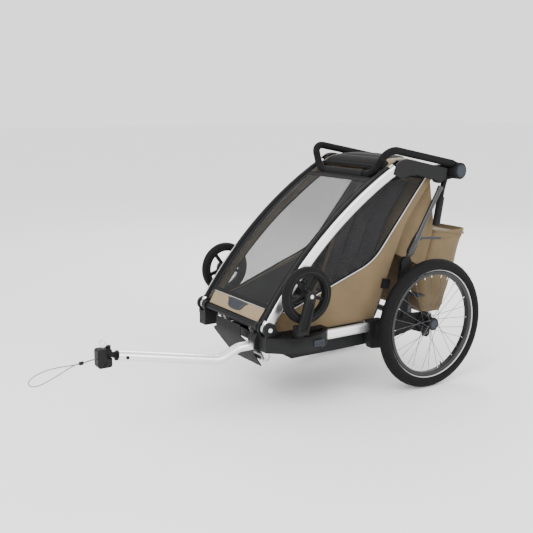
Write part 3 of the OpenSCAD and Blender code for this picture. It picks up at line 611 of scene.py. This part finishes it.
# gussets and back flap that join the cabin to the rear bag, drawn in a little
for sd, sg in (("left", 1), ("right", -1)):
    fr = resample([(y, z, 0) for y, z in catmull([(-107, 528), (-99, 560), (-63, 641), (12, 740), (72, 816)], 6)], 30)
    bk_ = resample([(y, z, 0) for y, z in catmull([(60, 452), (84, 530), (105, 616), (92, 715), (76, 817)], 6)], 30)
    rows = [[P(sg * (188.3 - 2.2 * math.sin(math.pi * j / 12) * math.sin(math.pi * i / 29) + 0.6 * noise.noise(Vector((i / 4.0, j / 3.0, 8)))),
               lerp(a.x, b.x, j / 12), lerp(a.y, b.y, j / 12)) for j in range(13)] for i, (a, b) in enumerate(zip(fr, bk_))]
    ob = sheet("side_gusset_" + sd, rows, 1.2, M_khaki, None, normal=Vector((-sg, 0, 0)))
    fold_blend(ob)
    edge = [(p.x, p.y) for p in fr] + [(p.x, p.y) for p in reversed(bk_)]
    cloth(ob, cut_rect(edge), cut_area(edge))
bk_ = resample([(y, z, 0) for y, z in catmull([(107, 619), (95, 700), (84, 760), (75, 817)], 6)], 22)
rows = [[P(187.5 * (j / 20 * 2 - 1), b.x - 2.0 * math.sin(math.pi * j / 20) * math.sin(math.pi * i / 21), b.y) for j in range(21)] for i, b in enumerate(bk_)]
ob = sheet("rear_flap", rows, 1.2, M_khaki, None)
fold_blend(ob)
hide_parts("back_flap")
cloth(ob, (0.376, 0.202))
# dark lining on the inside of the side panels, below and behind the windows
i0 = n_arc - 1 + len(top_i)
for sd, sg in (("left", 1), ("right", -1)):
    rows = [[P(sg * (200.6 + 0.5 * noise.noise(Vector((i / 3.0, j, 5)))), lerp(o[0], p[0], 0.10 + 0.84 * j / 6), lerp(o[1], p[1], 0.10 + 0.84 * j / 6)) for j in range(7)]
            for i, (o, p) in enumerate(zip(outer[i0 + 2:], inner[i0 + 2:]))]
    ob = sheet("side_lining_" + sd, rows, 0.8, M_liner, None, normal=Vector((-sg, 0, 0)))
    fold_blend(ob)
    pairs = list(zip(outer[i0 + 2:], inner[i0 + 2:]))
    edge = [(lerp(o[0], p[0], 0.10), lerp(o[1], p[1], 0.10)) for o, p in pairs] + [(lerp(o[0], p[0], 0.94), lerp(o[1], p[1], 0.94)) for o, p in reversed(pairs)]
    cloth(ob, cut_rect(edge), cut_area(edge))
# floor cloth inside, between the skirts
rows = [[P(201.0 * (j / 12 * 2 - 1), lerp(-640, -216, i / 16), 252 + 1.2 * noise.noise(Vector((i / 3.0, j / 3.0, 2)))) for j in range(13)] for i in range(17)]
ob = sheet("floor_cloth", rows, 1.2, M_seat, "chassis")
cloth(ob, (0.402, 0.424))

# ------------------------------------------------------------------ front cover and mesh
def front_r(a, u):
    """radius of the cover's cloth at angle a and side fraction u: drawn slightly in between the tubes"""
    return 1606.6 + 0.9 - 3.5 * (1 - u * u) * math.sin(math.pi * (a - 121.7) / 23.4)

def cover_pt(a, x, dr=0.0):
    y, z = arc_p(front_r(a, x / 206.0) + dr, a)
    return P(x, y, z)

rows = [[cover_pt(lerp(121.9, 145.0, i / 60), lerp(-197, 197, j / 22)) for j in range(23)] for i in range(61)]
ob = sheet("front_screen", rows, 0.5, M_mesh, "upper_frame")
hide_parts("front_mesh")
cloth(ob, (0.394, 0.648))
# cover border: a frame of dark cloth round the mesh
def border(name, a0, a1, x0, x1, na, nx, mat=M_dark, dr=0.9, t=1.2, body="upper_frame"):
    rows = [[cover_pt(lerp(a0, a1, i / na), lerp(x0, x1, j / nx), dr) for j in range(nx + 1)] for i in range(na + 1)]
    return sheet(name, rows, t, mat, body)
bl = border("cover_border_left", 121.7, 145.1, 187, 205, 60, 4)
br = border("cover_border_right", 121.7, 145.1, -205, -187, 60, 4)
bt = border("cover_border_top", 121.7, 122.6, -187, 187, 4, 24)
bo = border("cover_border_bottom", 144.55, 145.1, -187, 187, 3, 24)
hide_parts("front_cover")
cloth(bl, (0.018, 0.658))
cloth(br, (0.018, 0.658))
cloth(bt, (0.374, 0.0253))
cloth(bo, (0.374, 0.0155))
# stitching along the border
for sd, x in (("left", 189.5), ("right", -189.5)):
    tube("cover_stitch_" + sd, [cover_pt(lerp(122.0, 144.9, i / 70), x, 2.2) for i in range(71)], 0.55, M_dark, "upper_frame", n=6)
# black edge sleeves over the front faces of the diagonal tubes
for sd, sg in (("left", 1), ("right", -1)):
    rows = []
    for i in range(71):
        a = lerp(119.3, 146.6, i / 70)
        row = []
        for x, r in ((203.5, 1607.5), (206.5, 1611.5), (209.5, 1615.5), (213.5, 1616.9), (218, 1617.2), (223, 1617.2), (228, 1616.7), (231.5, 1615.2), (234.0, 1612.0)):
            y, z = arc_p(r, a)
            row.append(P(sg * x, y, z))
        rows.append(row)
    ob = sheet("tube_sleeve_" + sd, rows, 1.0, M_binding, "upper_frame")
    cloth(ob, (0.035, 0.769))
# thin reflective line on the lower outer edge of the far sleeve
for sd, sg in (("right", -1),):
    pts = []
    for i in range(30):
        y, z = arc_p(1618.6, lerp(138.0, 146.4, i / 29))
        pts.append(P(sg * 221.5, y, z))
    tube("sleeve_piping_" + sd, pts, 1.5, M_piping, "upper_frame", n=8)

# front strip with its blank badge
rows = []
for i in range(15):
    a = lerp(145.2, 147.0, i / 14)
    row = []
    for j in range(33):
        u = j / 32 * 2 - 1
        y, z = arc_p(1607.2 + 1.4 * (1 - abs(u) ** 6) * math.sin(math.pi * i / 14) + 0.5 * noise.noise(Vector((u * 6, i / 5.0, 9))), a)
        row.append(P(u * lerp(182, 178, i / 14), y, z))
    rows.append(row)
strip = sheet("front_strip", rows, 1.2, M_strip, "chassis")
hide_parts("front_trim")
cloth(strip, (0.364, 0.0508))
tube("strip_piping_top", [P(x, *arc_p(1609.6, 145.15)) for x in range(-182, 183, 14)], 0.8, M_piping, "chassis", n=8)
tube("strip_hem", [P(x, *arc_p(1608.4, 147.0)) for x in range(-178, 179, 14)], 1.5, M_strip, "chassis", n=8)
# badge: a blank moulded plate, wider at its top
bv = []
def bp(u, v, dr):
    # u: X, v: 0 at the strip's top edge to 1 at its bottom
    return P(u, *arc_p(1609.2 + dr, lerp(145.25, 147.0, v)))
outl = [(-64, 0.03), (64, 0.03), (60, 0.25), (38, 0.76), (-38, 0.76), (-60, 0.25)]
outl = [tuple(q) for q in catmull([(a, b) for a, b in outl], 3, closed=True)]
v, f = [], []
k = len(outl)
for sc, dr in ((1.0, 0.0), (1.0, 1.8), (0.955, 2.7), (0.80, 2.7), (0.77, 1.7), (0.60, 1.7)):
    for a, b in outl:
        v.append(bp(a * sc, 0.38 + (b - 0.38) * (sc if sc == 1.0 else sc - 0.04), dr))
for r in range(5):
    for i in range(k):
        f.append((r * k + i, r * k + (i + 1) % k, (r + 1) * k + (i + 1) % k, (r + 1) * k + i))
f.append(tuple(range(k - 1, -1, -1))); f.append(tuple(5 * k + i for i in range(k)))
make("front_badge", v, f, M_button, "chassis", angle=35)

# footwell cloth over the front of the footwell, open round the hoop
fw_prof = catmull([(-750, 304), (-749, 262), (-709, 196), (-668, 138), (-664, 133)], 9)
fw_prof = resample([(a, b, 0) for a, b in fw_prof], 34)
def fw_half(z):
    pts = [(306, 88), (290, 90), (262, 91), (250, 125), (240, 127), (190, 116), (140, 105), (132, 92), (126, 88)]
    for (za, xa), (zb, xb) in zip(pts, pts[1:]):
        if za >= z >= zb:
            return lerp(xa, xb, (za - z) / (za - zb))
    return 88
rows = []
for i, p in enumerate(fw_prof):
    row = []
    h = fw_half(p.y)
    for j in range(29):
        u = j / 28 * 2 - 1
        d = 3.0 * (1 - u * u) * math.sin(math.pi * i / 33) + 0.9 * noise.noise(Vector((u * 4, i / 6.0, 3)))
        row.append(P(h * u, p.x - d * 0.75, p.y - d * 0.55))
    rows.append(row)
# the footwell colour holds painted shade as well as the cloth's own dark tone
ob = sheet("footwell_cloth", rows, 1.6, M_footwell_shaded, "chassis")
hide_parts("footwell_panel")
fw_steps = [(b - a).length for a, b in zip(fw_prof, fw_prof[1:])]
cloth(ob, (2 * max(fw_half(p.y) for p in fw_prof) / 1000, sum(fw_steps) / 1000),
      sum((fw_half(a.y) + fw_half(b.y)) * d for a, b, d in zip(fw_prof, fw_prof[1:], fw_steps)) / 1e6)
for sd, sg in (("left", 1), ("right", -1)):
    tube("footwell_hem_" + sd, [P(sg * (fw_half(p.y) - 0.5), p.x - 1.0, p.y - 0.5) for p in fw_prof], 1.8, M_binding, "chassis", n=8)

# ------------------------------------------------------------------ roof
roof_prof = resample([(a, b, 0) for a, b in catmull([(-170, 864), (-160, 878), (-132, 895), (-95, 899), (-60, 899), (-20, 895), (20, 887), (52, 874), (66, 864), (74, 846)], 6)], 44)
rows = []
for i, p in enumerate(roof_prof):
    row = []
    for j in range(27):
        u = j / 26 * 2 - 1
        lift = 5.0 * (1 - u * u) * math.sin(math.pi * i / 43) + 1.1 * noise.noise(Vector((u * 3, i / 8.0, 6)))
        side = -9.0 * abs(u) ** 8
        row.append(P(206 * u, p.x, p.y + lift + side - 4))
    rows.append(row)
roof = sheet("roof_cloth", rows, 1.6, M_strip, "upper_frame", normal=Vector((0, 0, 1)))
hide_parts("roof_panel")
cloth(roof, (0.412, 0.282))
# dark sun shade folded back over the roof, with its pleats
rows = []
for i in range(57):
    t = i / 56
    row = []
    for j in range(35):
        u = j / 34 * 2 - 1
        # the rear edge is cut back at its corners, so the roof shows there
        y0, y1 = -172.0, -14.0 - 30.0 * abs(u) ** 5
        y = lerp(y0, y1, t)
        zr = None
        for a, b in zip(roof_prof, roof_prof[1:]):
            if a.x <= y <= b.x:
                zr = lerp(a.y, b.y, (y - a.x) / (b.x - a.x)); break
        if zr is None:
            zr = roof_prof[0].y - 3
        pleat = 5.0 * abs(math.sin(math.pi * 3.5 * t)) ** 0.7 + 1.5
        z = zr + 5.0 * (1 - u * u) * math.sin(math.pi * max(0, t) * 0.7) + pleat * (1 - abs(u) ** 10) - 9.0 * abs(u) ** 8 - 3 + 1.0 * noise.noise(Vector((u * 5, t * 3, 5)))
        q = min(1.0, max(0.0, (y + 150) / 30.0)); q = q * q * (3 - 2 * q)
        row.append(P(lerp(200, 166, q) * u, y, z + 5.5 * q * abs(u) ** 8))
    rows.append(row)
ob = sheet("sun_shade", rows, 1.4, M_dark, "upper_frame", normal=Vector((0, 0, 1)))
# its cut: 400 mm wide at the front and 332 mm behind, as long as its pleated middle line drawn out flat
mid = [Vector((y, 897 + 5.0 * abs(math.sin(math.pi * 3.5 * i / 56)) ** 0.7, 0)) for i, y in enumerate(lerp(-172.0, -14.0, i / 56) for i in range(57))]
q_ = [min(1.0, max(0.0, (p.x + 150) / 30.0)) for p in mid]
wid = [lerp(400, 332, q * q * (3 - 2 * q)) for q in q_]
steps = [(b - a).length for a, b in zip(mid, mid[1:])]
cloth(ob, (0.400, sum(steps) / 1000), sum((a + b) / 2 * d for a, b, d in zip(wid, wid[1:], steps)) / 1e6)
# the shade's front roll and the cover's top roll, either side of the gap
tube("shade_roll", [P(x, -167, 868 - 3 * (abs(x) / 200) ** 4) for x in range(-200, 201, 20)], 4.0, M_dark, "upper_frame", n=16)
tube("cover_top_roll", [P(x, *arc_p(1609.5, 121.8)) for x in range(-203, 204, 14)], 2.6, M_binding, "upper_frame", n=12)

# ------------------------------------------------------------------ seat
def pad(name, prof_front, prof_back, half, mat, body, channels, crown, nx=33, puff=1.0):
    """a padded slab between two matching side profiles, its sides drawn in between the corners, with sewn channels"""
    nf = len(prof_front)
    verts, m = [], nx
    for i in range(nf):
        a, b = Vector(prof_front[i]), Vector(prof_back[i])
        t = i / (nf - 1)
        endk = min(1.0, min(t, 1 - t) * 9)
        for j in range(m):
            u = j / (m - 1) * 2 - 1
            pull = 1 - 0.035 * math.sin(math.pi * t * 2) ** 2
            edge = (1 - abs(u) ** 6) ** 0.5 * (0.25 + 0.75 * endk ** 0.5)
            n = (a - b).normalized()
            mid = (a + b) / 2
            th = (a - b).length / 2
            c = 1.0
            for cu in channels[0]:
                c = min(c, 1 - 0.30 * math.exp(-((u - cu) / 0.035) ** 2))
            for ct in channels[1]:
                c = min(c, 1 - 0.34 * math.exp(-((t - ct) / 0.016) ** 2))
            p = mid + n * th * edge * c * (1 + crown * (1 - u * u))
            verts.append((u, p, pull, False))
    front = [P(half * u * pl, p.x, p.y) for u, p, pl, _ in verts]
    back = []
    for i in range(nf):
        a, b = Vector(prof_front[i]), Vector(prof_back[i])
        t = i / (nf - 1)
        pull = 1 - 0.035 * math.sin(math.pi * t * 2) ** 2
        for j in range(m):
            u = j / (m - 1) * 2 - 1
            edge = (1 - abs(u) ** 6) ** 0.5
            n = (b - a).normalized()
            p = (a + b) / 2 + n * (a - b).length / 2 * edge
            back.append(P(half * u * pull, p.x, p.y))
    k = nf * m
    f = grid_faces(nf, m)
    f += [(a + k, d + k, c + k, b + k) for a, b, c, d in f]
    loop = [i * m for i in range(nf)] + [(nf - 1) * m + j for j in range(1, m)] + [i * m + m - 1 for i in range(nf - 2, -1, -1)] + [j for j in range(m - 2, 0, -1)]
    for a, b in zip(loop, loop[1:] + loop[:1]):
        f.append((a, b, b + k, a + k))
    ob = make(name, front + back, f, mat, body, angle=70)
    return ob

back_c = resample([(a, b, 0) for a, b in catmull([(-243, 318), (-190, 452), (-133, 588), (-88, 674), (16, 806)], 10)], 70)
def offset_prof(pr, d):
    out = []
    for i, p in enumerate(pr):
        t = (pr[min(i + 1, len(pr) - 1)] - pr[max(i - 1, 0)]).normalized()
        out.append((p.x - t.y * d, p.y + t.x * d))
    return out
def simulate(ob, pressure, cap, frames=20, voxel=0.006):
    """swells a pad with cloth pressure, the way its filling does, and caps how far any point may move"""
    scene = bpy.context.scene
    bpy.context.view_layer.objects.active = ob
    for o in bpy.context.selected_objects:
        o.select_set(False)
    ob.select_set(True)
    ob.data.remesh_voxel_size = voxel
    bpy.ops.object.voxel_remesh()
    rest = [v.co.copy() for v in ob.data.vertices]
    md = ob.modifiers.new("cloth", "CLOTH")
    md.settings.use_pressure = True
    md.settings.uniform_pressure_force = pressure
    md.settings.effector_weights.gravity = 0.0
    md.settings.quality = 5
    md.settings.mass = 0.3
    md.settings.tension_stiffness = 18
    md.settings.compression_stiffness = 18
    md.settings.bending_stiffness = 0.6
    md.collision_settings.use_collision = False
    md.point_cache.frame_start = 1
    md.point_cache.frame_end = frames
    for fr in range(1, frames + 1):
        scene.frame_set(fr)
    dg = bpy.context.evaluated_depsgraph_get()
    co = [v.co.copy() for v in ob.evaluated_get(dg).data.vertices]
    ob.modifiers.remove(md)
    scene.frame_set(1)
    for v, a, b in zip(ob.data.vertices, rest, co):
        d = b - a
        if d.length > cap:
            d = d.normalized() * cap
        v.co = a + d
    bm = bmesh.new(); bm.from_mesh(ob.data)
    for _ in range(8):
        bmesh.ops.smooth_vert(bm, verts=bm.verts, factor=0.5, use_axis_x=True, use_axis_y=True, use_axis_z=True)
    bm.to_mesh(ob.data); bm.free()
    for p in ob.data.polygons:
        p.use_smooth = True
    ob.data.update()

seat_back = pad("seat_back_pad", offset_prof(back_c, 9), offset_prof(back_c, -9), 148, M_seat, None, ([], []), 0.1)
simulate(seat_back, 5.0, 0.007, voxel=0.007)
seat_base = pad("seat_base_pad", [(y, z) for y, z in catmull([(-448, 318), (-430, 332), (-350, 326), (-262, 316)], 12)], [(y, z) for y, z in catmull([(-448, 274), (-430, 268), (-350, 268), (-262, 268)], 12)], 150, M_seat, None, ([], []), 0.08)
simulate(seat_base, 4.0, 0.006, voxel=0.007)

def carve(ob, lines, depth, width):
    """sewn channels: lines are (point, direction) planes in metres, cut gently into the filling"""
    me = ob.data
    me.calc_loop_triangles()
    for v in me.vertices:
        n = v.normal
        for p, d in lines:
            s = (v.co - p).dot(d)
            v.co -= n * depth * math.exp(-(s / width) ** 2)
    me.update()
ax = Vector((1, 0, 0))
carve(seat_back, [(P(x, 0, 0), ax) for x in (-95, -48, 48, 95)] + [(P(0, -133, 588), Vector((0, 0.42, 0.91))), (P(0, -190, 452), Vector((0, 0.38, 0.92)))], 0.0022, 0.004)
carve(seat_base, [(P(x, 0, 0), ax) for x in (-75, 0, 75)], 0.0018, 0.004)
fold_blend(seat_back)
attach(seat_base, "chassis")
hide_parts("seat_back"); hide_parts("seat_base")

# harness: shoulder straps down the seat back with pads, lap and crotch straps, buckle
strap_c = offset_prof(back_c, 19)
for sd, x0, x1 in (("left", 52, 40), ("right", -52, -40)):
    pts = [P(lerp(x1, x0, t / 58), *strap_c[6 + t]) for t in range(59)]
    ob = tube("shoulder_strap_" + sd, pts, 1, M_web, None, n=16, flat=(30, 2.2, (1, 0, 0)))
    fold_blend(ob)
    pts = [P(lerp(x1, x0, t / 58), *offset_prof(back_c, 22)[6 + t]) for t in range(16, 44)]
    ob = tube("shoulder_pad_" + sd, pts, 1, M_seat, None, n=20, flat=(46, 9, (1, 0, 0)))
    fold_blend(ob)
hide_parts("harness")
for sd, sg in (("left", 1), ("right", -1)):
    pts = [P(*q) for q in catmull([(sg * 118, -268, 330), (sg * 90, -285, 338), (sg * 50, -305, 345), (sg * 20, -318, 348)], 6)]
    tube("lap_strap_" + sd, pts, 1, M_web, "chassis", n=12, flat=(2.2, 25, (0, 0.3, 1)))
pts = [P(*q) for q in catmull([(0, -425, 336), (0, -395, 346), (0, -360, 348), (0, -335, 347)], 6)]
tube("crotch_strap", pts, 1, M_web, "chassis", n=12, flat=(26, 2.4, (1, 0, 0)))
bk = extrude_x("harness_buckle", [(-345, 340), (-345, 348), (-338, 353), (-306, 355), (-298, 350), (-298, 343), (-306, 339)], -22, 22, M_plastic, "chassis", bevel=3.0)

# ------------------------------------------------------------------ cargo bag
def bag_section(z):
    """front and rear depth of the bag at height z"""
    fr = [(254, 64), (300, 52), (380, 56), (450, 64), (540, 85), (612, 104)]
    rr = [(254, 180), (300, 207), (373, 238), (444, 270), (541, 297), (583, 316), (600, 315), (612, 311)]
    def at(tb):
        for (za, ya), (zb, yb) in zip(tb, tb[1:]):
            if za <= z <= zb:
                return lerp(ya, yb, (z - za) / (zb - za))
        return tb[-1][1] if z > tb[-1][0] else tb[0][1]
    return at(fr), at(rr)
bag_rows = []
zs = [256 + i * (590 - 256) / 44 for i in range(45)]
nb = 96
for zi, z in enumerate(zs):
    y0, y1 = bag_section(z)
    cy, hy, hx = (y0 + y1) / 2, (y1 - y0) / 2 - 2, 180 - 6 * math.sin(math.pi * zi / 44)
    row = []
    for j in range(nb):
        a = 2 * math.pi * j / nb
        c, s = math.cos(a), math.sin(a)
        e = 0.24
        x = math.copysign(abs(c) ** e, c) * hx
        yy = math.copysign(abs(s) ** e, s) * hy
        k = zi / 44
        sag = 5.0 * math.exp(-((k - 0.18) / 0.2) ** 2) - 3.5 * math.exp(-((k - 0.72) / 0.22) ** 2)
        w = 2.6 * noise.noise(Vector((x / 70.0, yy / 70.0, z / 46.0))) + 1.6 * noise.noise(Vector((x / 30.0, yy / 30.0, z / 80.0 + 7)))
        n = Vector((c, s)).normalized()
        tilt = -0.0
        row.append(P(x + n.x * (sag * 0.4 + w), cy + yy + n.y * (sag * 0.5 + w), z + (6 * (1 - abs(c)) if zi == 0 else 0)))
    bag_rows.append(row)
verts = [p for r in bag_rows for p in r]
f = []
R = len(bag_rows)
for i in range(R - 1):
    for j in range(nb):
        f.append((i * nb + j, i * nb + (j + 1) % nb, (i + 1) * nb + (j + 1) % nb, (i + 1) * nb + j))
# bottom: rings closing inwards
def ring_of(row, sc, dz, wob=0.0):
    c = sum(row, Vector()) / len(row)
    return [Vector((lerp(c.x, p.x, sc), lerp(c.y, p.y, sc), lerp(c.z, p.z, sc) + dz / 1000 + wob * noise.noise(p * 14) / 1000)) for p in row]
base = len(verts)
for s_, dz in ((0.9, -1.5), (0.6, -1.8), (0.3, -1.8)):
    verts += ring_of(bag_rows[0], s_, dz, 1.0)
prev = 0
for r in range(3):
    cur = base + r * nb
    for j in range(nb):
        f.append((prev + (j + 1) % nb, prev + j, cur + j, cur + (j + 1) % nb))
    prev = cur
f.append(tuple(prev + j for j in range(nb - 1, -1, -1)))
bag = make("cargo_bag_shell", verts, f, M_khaki, None, angle=80)
sol = bag.modifiers.new("thick", "SOLIDIFY"); sol.thickness = 0.0016; sol.offset = -1
def bag_squash(ob):
    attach(ob, "chassis")
    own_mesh(ob)
bag_squash(bag)
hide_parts("cargo_bag")
# its cut: a wall wrapped once round, and a bottom sewn to it
def bag_girth(z):
    y0, y1 = bag_section(z)
    return 2 * (360 + (y1 - y0 - 4))
bag_deep = bag_section(zs[0])[1] - bag_section(zs[0])[0] - 4
cloth(bag, (max(bag_girth(z) for z in zs) / 1000, (zs[-1] - zs[0] + bag_deep) / 1000),
      (sum((bag_girth(a) + bag_girth(b)) / 2 * (b - a) for a, b in zip(zs, zs[1:])) + 360 * bag_deep) / 1e6)
# lid of the bag, falling to the rear and gathered at its rim
top = bag_rows[-1]
lid_rows = []
for s_ in (1.012, 1.0, 0.93, 0.8, 0.6, 0.4, 0.2, 0.03):
    c = sum(top, Vector()) / nb
    rr_ = []
    for j, p in enumerate(top):
        yy = lerp(c.y, p.y, s_)
        slope = (0.623 - (yy - (0.518 + 0.104)) * 0.135)
        drop = -0.008 if s_ > 1.005 else (-0.0005 if s_ > 0.99 else 0.0)
        gather = 0.0035 * math.sin(j * 2.2) * max(0, (s_ - 0.75)) * 2.2
        rr_.append(Vector((lerp(c.x, p.x, s_), yy, slope - 0.012 - 0.020 * (1 - s_) * (0.3 + (yy - c.y) * 3) + drop + gather + 0.002 * noise.noise(p * 30 * s_))))
    lid_rows.append(rr_)
v = [p for r in lid_rows for p in r]
f = []
for i in range(len(lid_rows) - 1):
    for j in range(nb):
        f.append((i * nb + j, i * nb + (j + 1) % nb, (i + 1) * nb + (j + 1) % nb, (i + 1) * nb + j))
f.append(tuple((len(lid_rows) - 1) * nb + j for j in range(nb)))
lid = make("cargo_bag_lid", v, f, M_khaki, None, angle=80)
sol = lid.modifiers.new("thick", "SOLIDIFY"); sol.thickness = 0.0014; sol.offset = -1
bag_squash(lid)
cloth(lid, (0.37, 0.215))
# hem band under the rim and bottom piping
hem = tube("cargo_bag_hem", [p + (p - sum(bag_rows[40], Vector()) / nb).normalized() * 0.0008 for p in bag_rows[40]], 1.5, M_khaki, None, n=6, closed=True)
bag_squash(hem)
hem = tube("cargo_bag_piping", [p + (p - sum(bag_rows[3], Vector()) / nb).normalized() * 0.0008 for p in bag_rows[3]], 1.7, M_khaki, None, n=6, closed=True)
bag_squash(hem)

# ------------------------------------------------------------------ small real details
# round bolts at the frame pivots, wheel valves
def bolt(name, p, axis_sign, r, h, mat, body):
    k, v, f = 24, [], []
    prof = [(r * 0.98, 0), (r, h * 0.25), (r, h * 0.7), (r * 0.86, h), (r * 0.5, h), (r * 0.46, h * 0.45)]
    for rr_, hh in prof:
        for i in range(k):
            a = 2 * math.pi * i / k
            if rr_ < r * 0.55:
                a6 = round(i / (k / 6)) * math.pi / 3
            v.append(p + Vector((axis_sign * hh, rr_ * math.cos(a), rr_ * math.sin(a))) / 1000)
    for q in range(len(prof) - 1):
        for i in range(k):
            f.append((q * k + i, q * k + (i + 1) % k, (q + 1) * k + (i + 1) % k, (q + 1) * k + i))
    f.append(tuple(range(k))); f.append(tuple((len(prof) - 1) * k + i for i in range(k)))
    return make(name, v, f, mat, body, angle=35)
fp = arc_p(AR, 147.4)
for sd, sg in (("left", 1), ("right", -1)):
    bolt("fold_bolt_" + sd, P(sg * 251.2, *fp), sg, 8.5, 3.5, M_steel, "chassis")
    bolt("pedal_pivot_cap_" + sd, P(sg * 268.2, -106, 291), sg, 12, 2.5, M_plastic, "chassis")
    bolt("castor_axle_cap_" + sd, P(sg * 325.2, -597, 439.4), sg, 7, 1.2, M_steel, "castor_%s_fork" % sd)
    pts = [P(sg * 304, 0, 250) + Vector((0, math.sin(0.35), -math.cos(0.35))) * (0.212 - 0.001 * i) for i in range(0, 34, 3)]
    tube("valve_" + sd, pts, 2.6, M_plastic, "wheel_" + sd, n=10)
    # bright spoke nipples round the rim
    v, f = [], []
    for i in range(28):
        a = math.radians(i * 360 / 28)
        s2 = 1 if i % 2 == 0 else -1
        up = (i // 2) % 2
        c = Vector((sg * (304 + s2 * (3 + 1.2 * up)), 0, 0)) / 1000 + Vector((0, 0.518, 0.260))
        # spokes are laid out from +Y towards +Z
        d = Vector((0, math.cos(a), math.sin(a)))
        u1 = Vector((1, 0, 0)); u2 = d.cross(u1)
        b0 = len(v)
        for rr_, rad in ((0.1966, 2.2), (0.1925, 2.1), (0.186, 1.7), (0.1845, 1.2)):
            for k in range(8):
                an = k * math.pi / 4
                v.append(c + d * rr_ + (u1 * math.cos(an) + u2 * math.sin(an)) * rad / 1000)
        for q in range(3):
            for k in range(8):
                f.append((b0 + q * 8 + k, b0 + q * 8 + (k + 1) % 8, b0 + (q + 1) * 8 + (k + 1) % 8, b0 + (q + 1) * 8 + k))
        f.append(tuple(b0 + k for k in range(8))); f.append(tuple(b0 + 24 + k for k in range(7, -1, -1)))
    make("spoke_nipples_" + sd, v, f, M_steel, "wheel_" + sd, angle=50)

# ------------------------------------------------------------------ floor, light
m, nt, b = new_mat("floor_paper")
b.inputs["Base Color"].default_value = (0.95, 0.95, 0.95, 1)
b.inputs["Roughness"].default_value = 0.9
bpy.ops.mesh.primitive_plane_add(size=60, location=(0, 0, 0))
floor = bpy.context.object
floor.name = "floor"
floor.data.materials.append(m)

world = bpy.data.worlds.new("world")
bpy.context.scene.world = world
world.use_nodes = True
world.node_tree.nodes["Background"].inputs[0].default_value = (1.0, 1.0, 1.0, 1)
world.node_tree.nodes["Background"].inputs[1].default_value = 1.7

def area(name, loc, target, size, power):
    d = bpy.data.lights.new(name, "AREA"); d.energy = power; d.size = size; d.shape = "SQUARE"
    o = bpy.data.objects.new(name, d); bpy.context.scene.collection.objects.link(o)
    o.location = loc
    o.rotation_euler = (Vector(target) - Vector(loc)).to_track_quat("-Z", "Y").to_euler()
area("key", (2.2, -3.0, 3.6), (0, 0, 0.4), 2.5, 150)
area("fill", (4.0, 1.6, 2.0), (0, 0, 0.4), 2.0, 60)
area("rim", (-2.5, 2.5, 3.0), (0, 0, 0.4), 2.0, 70)
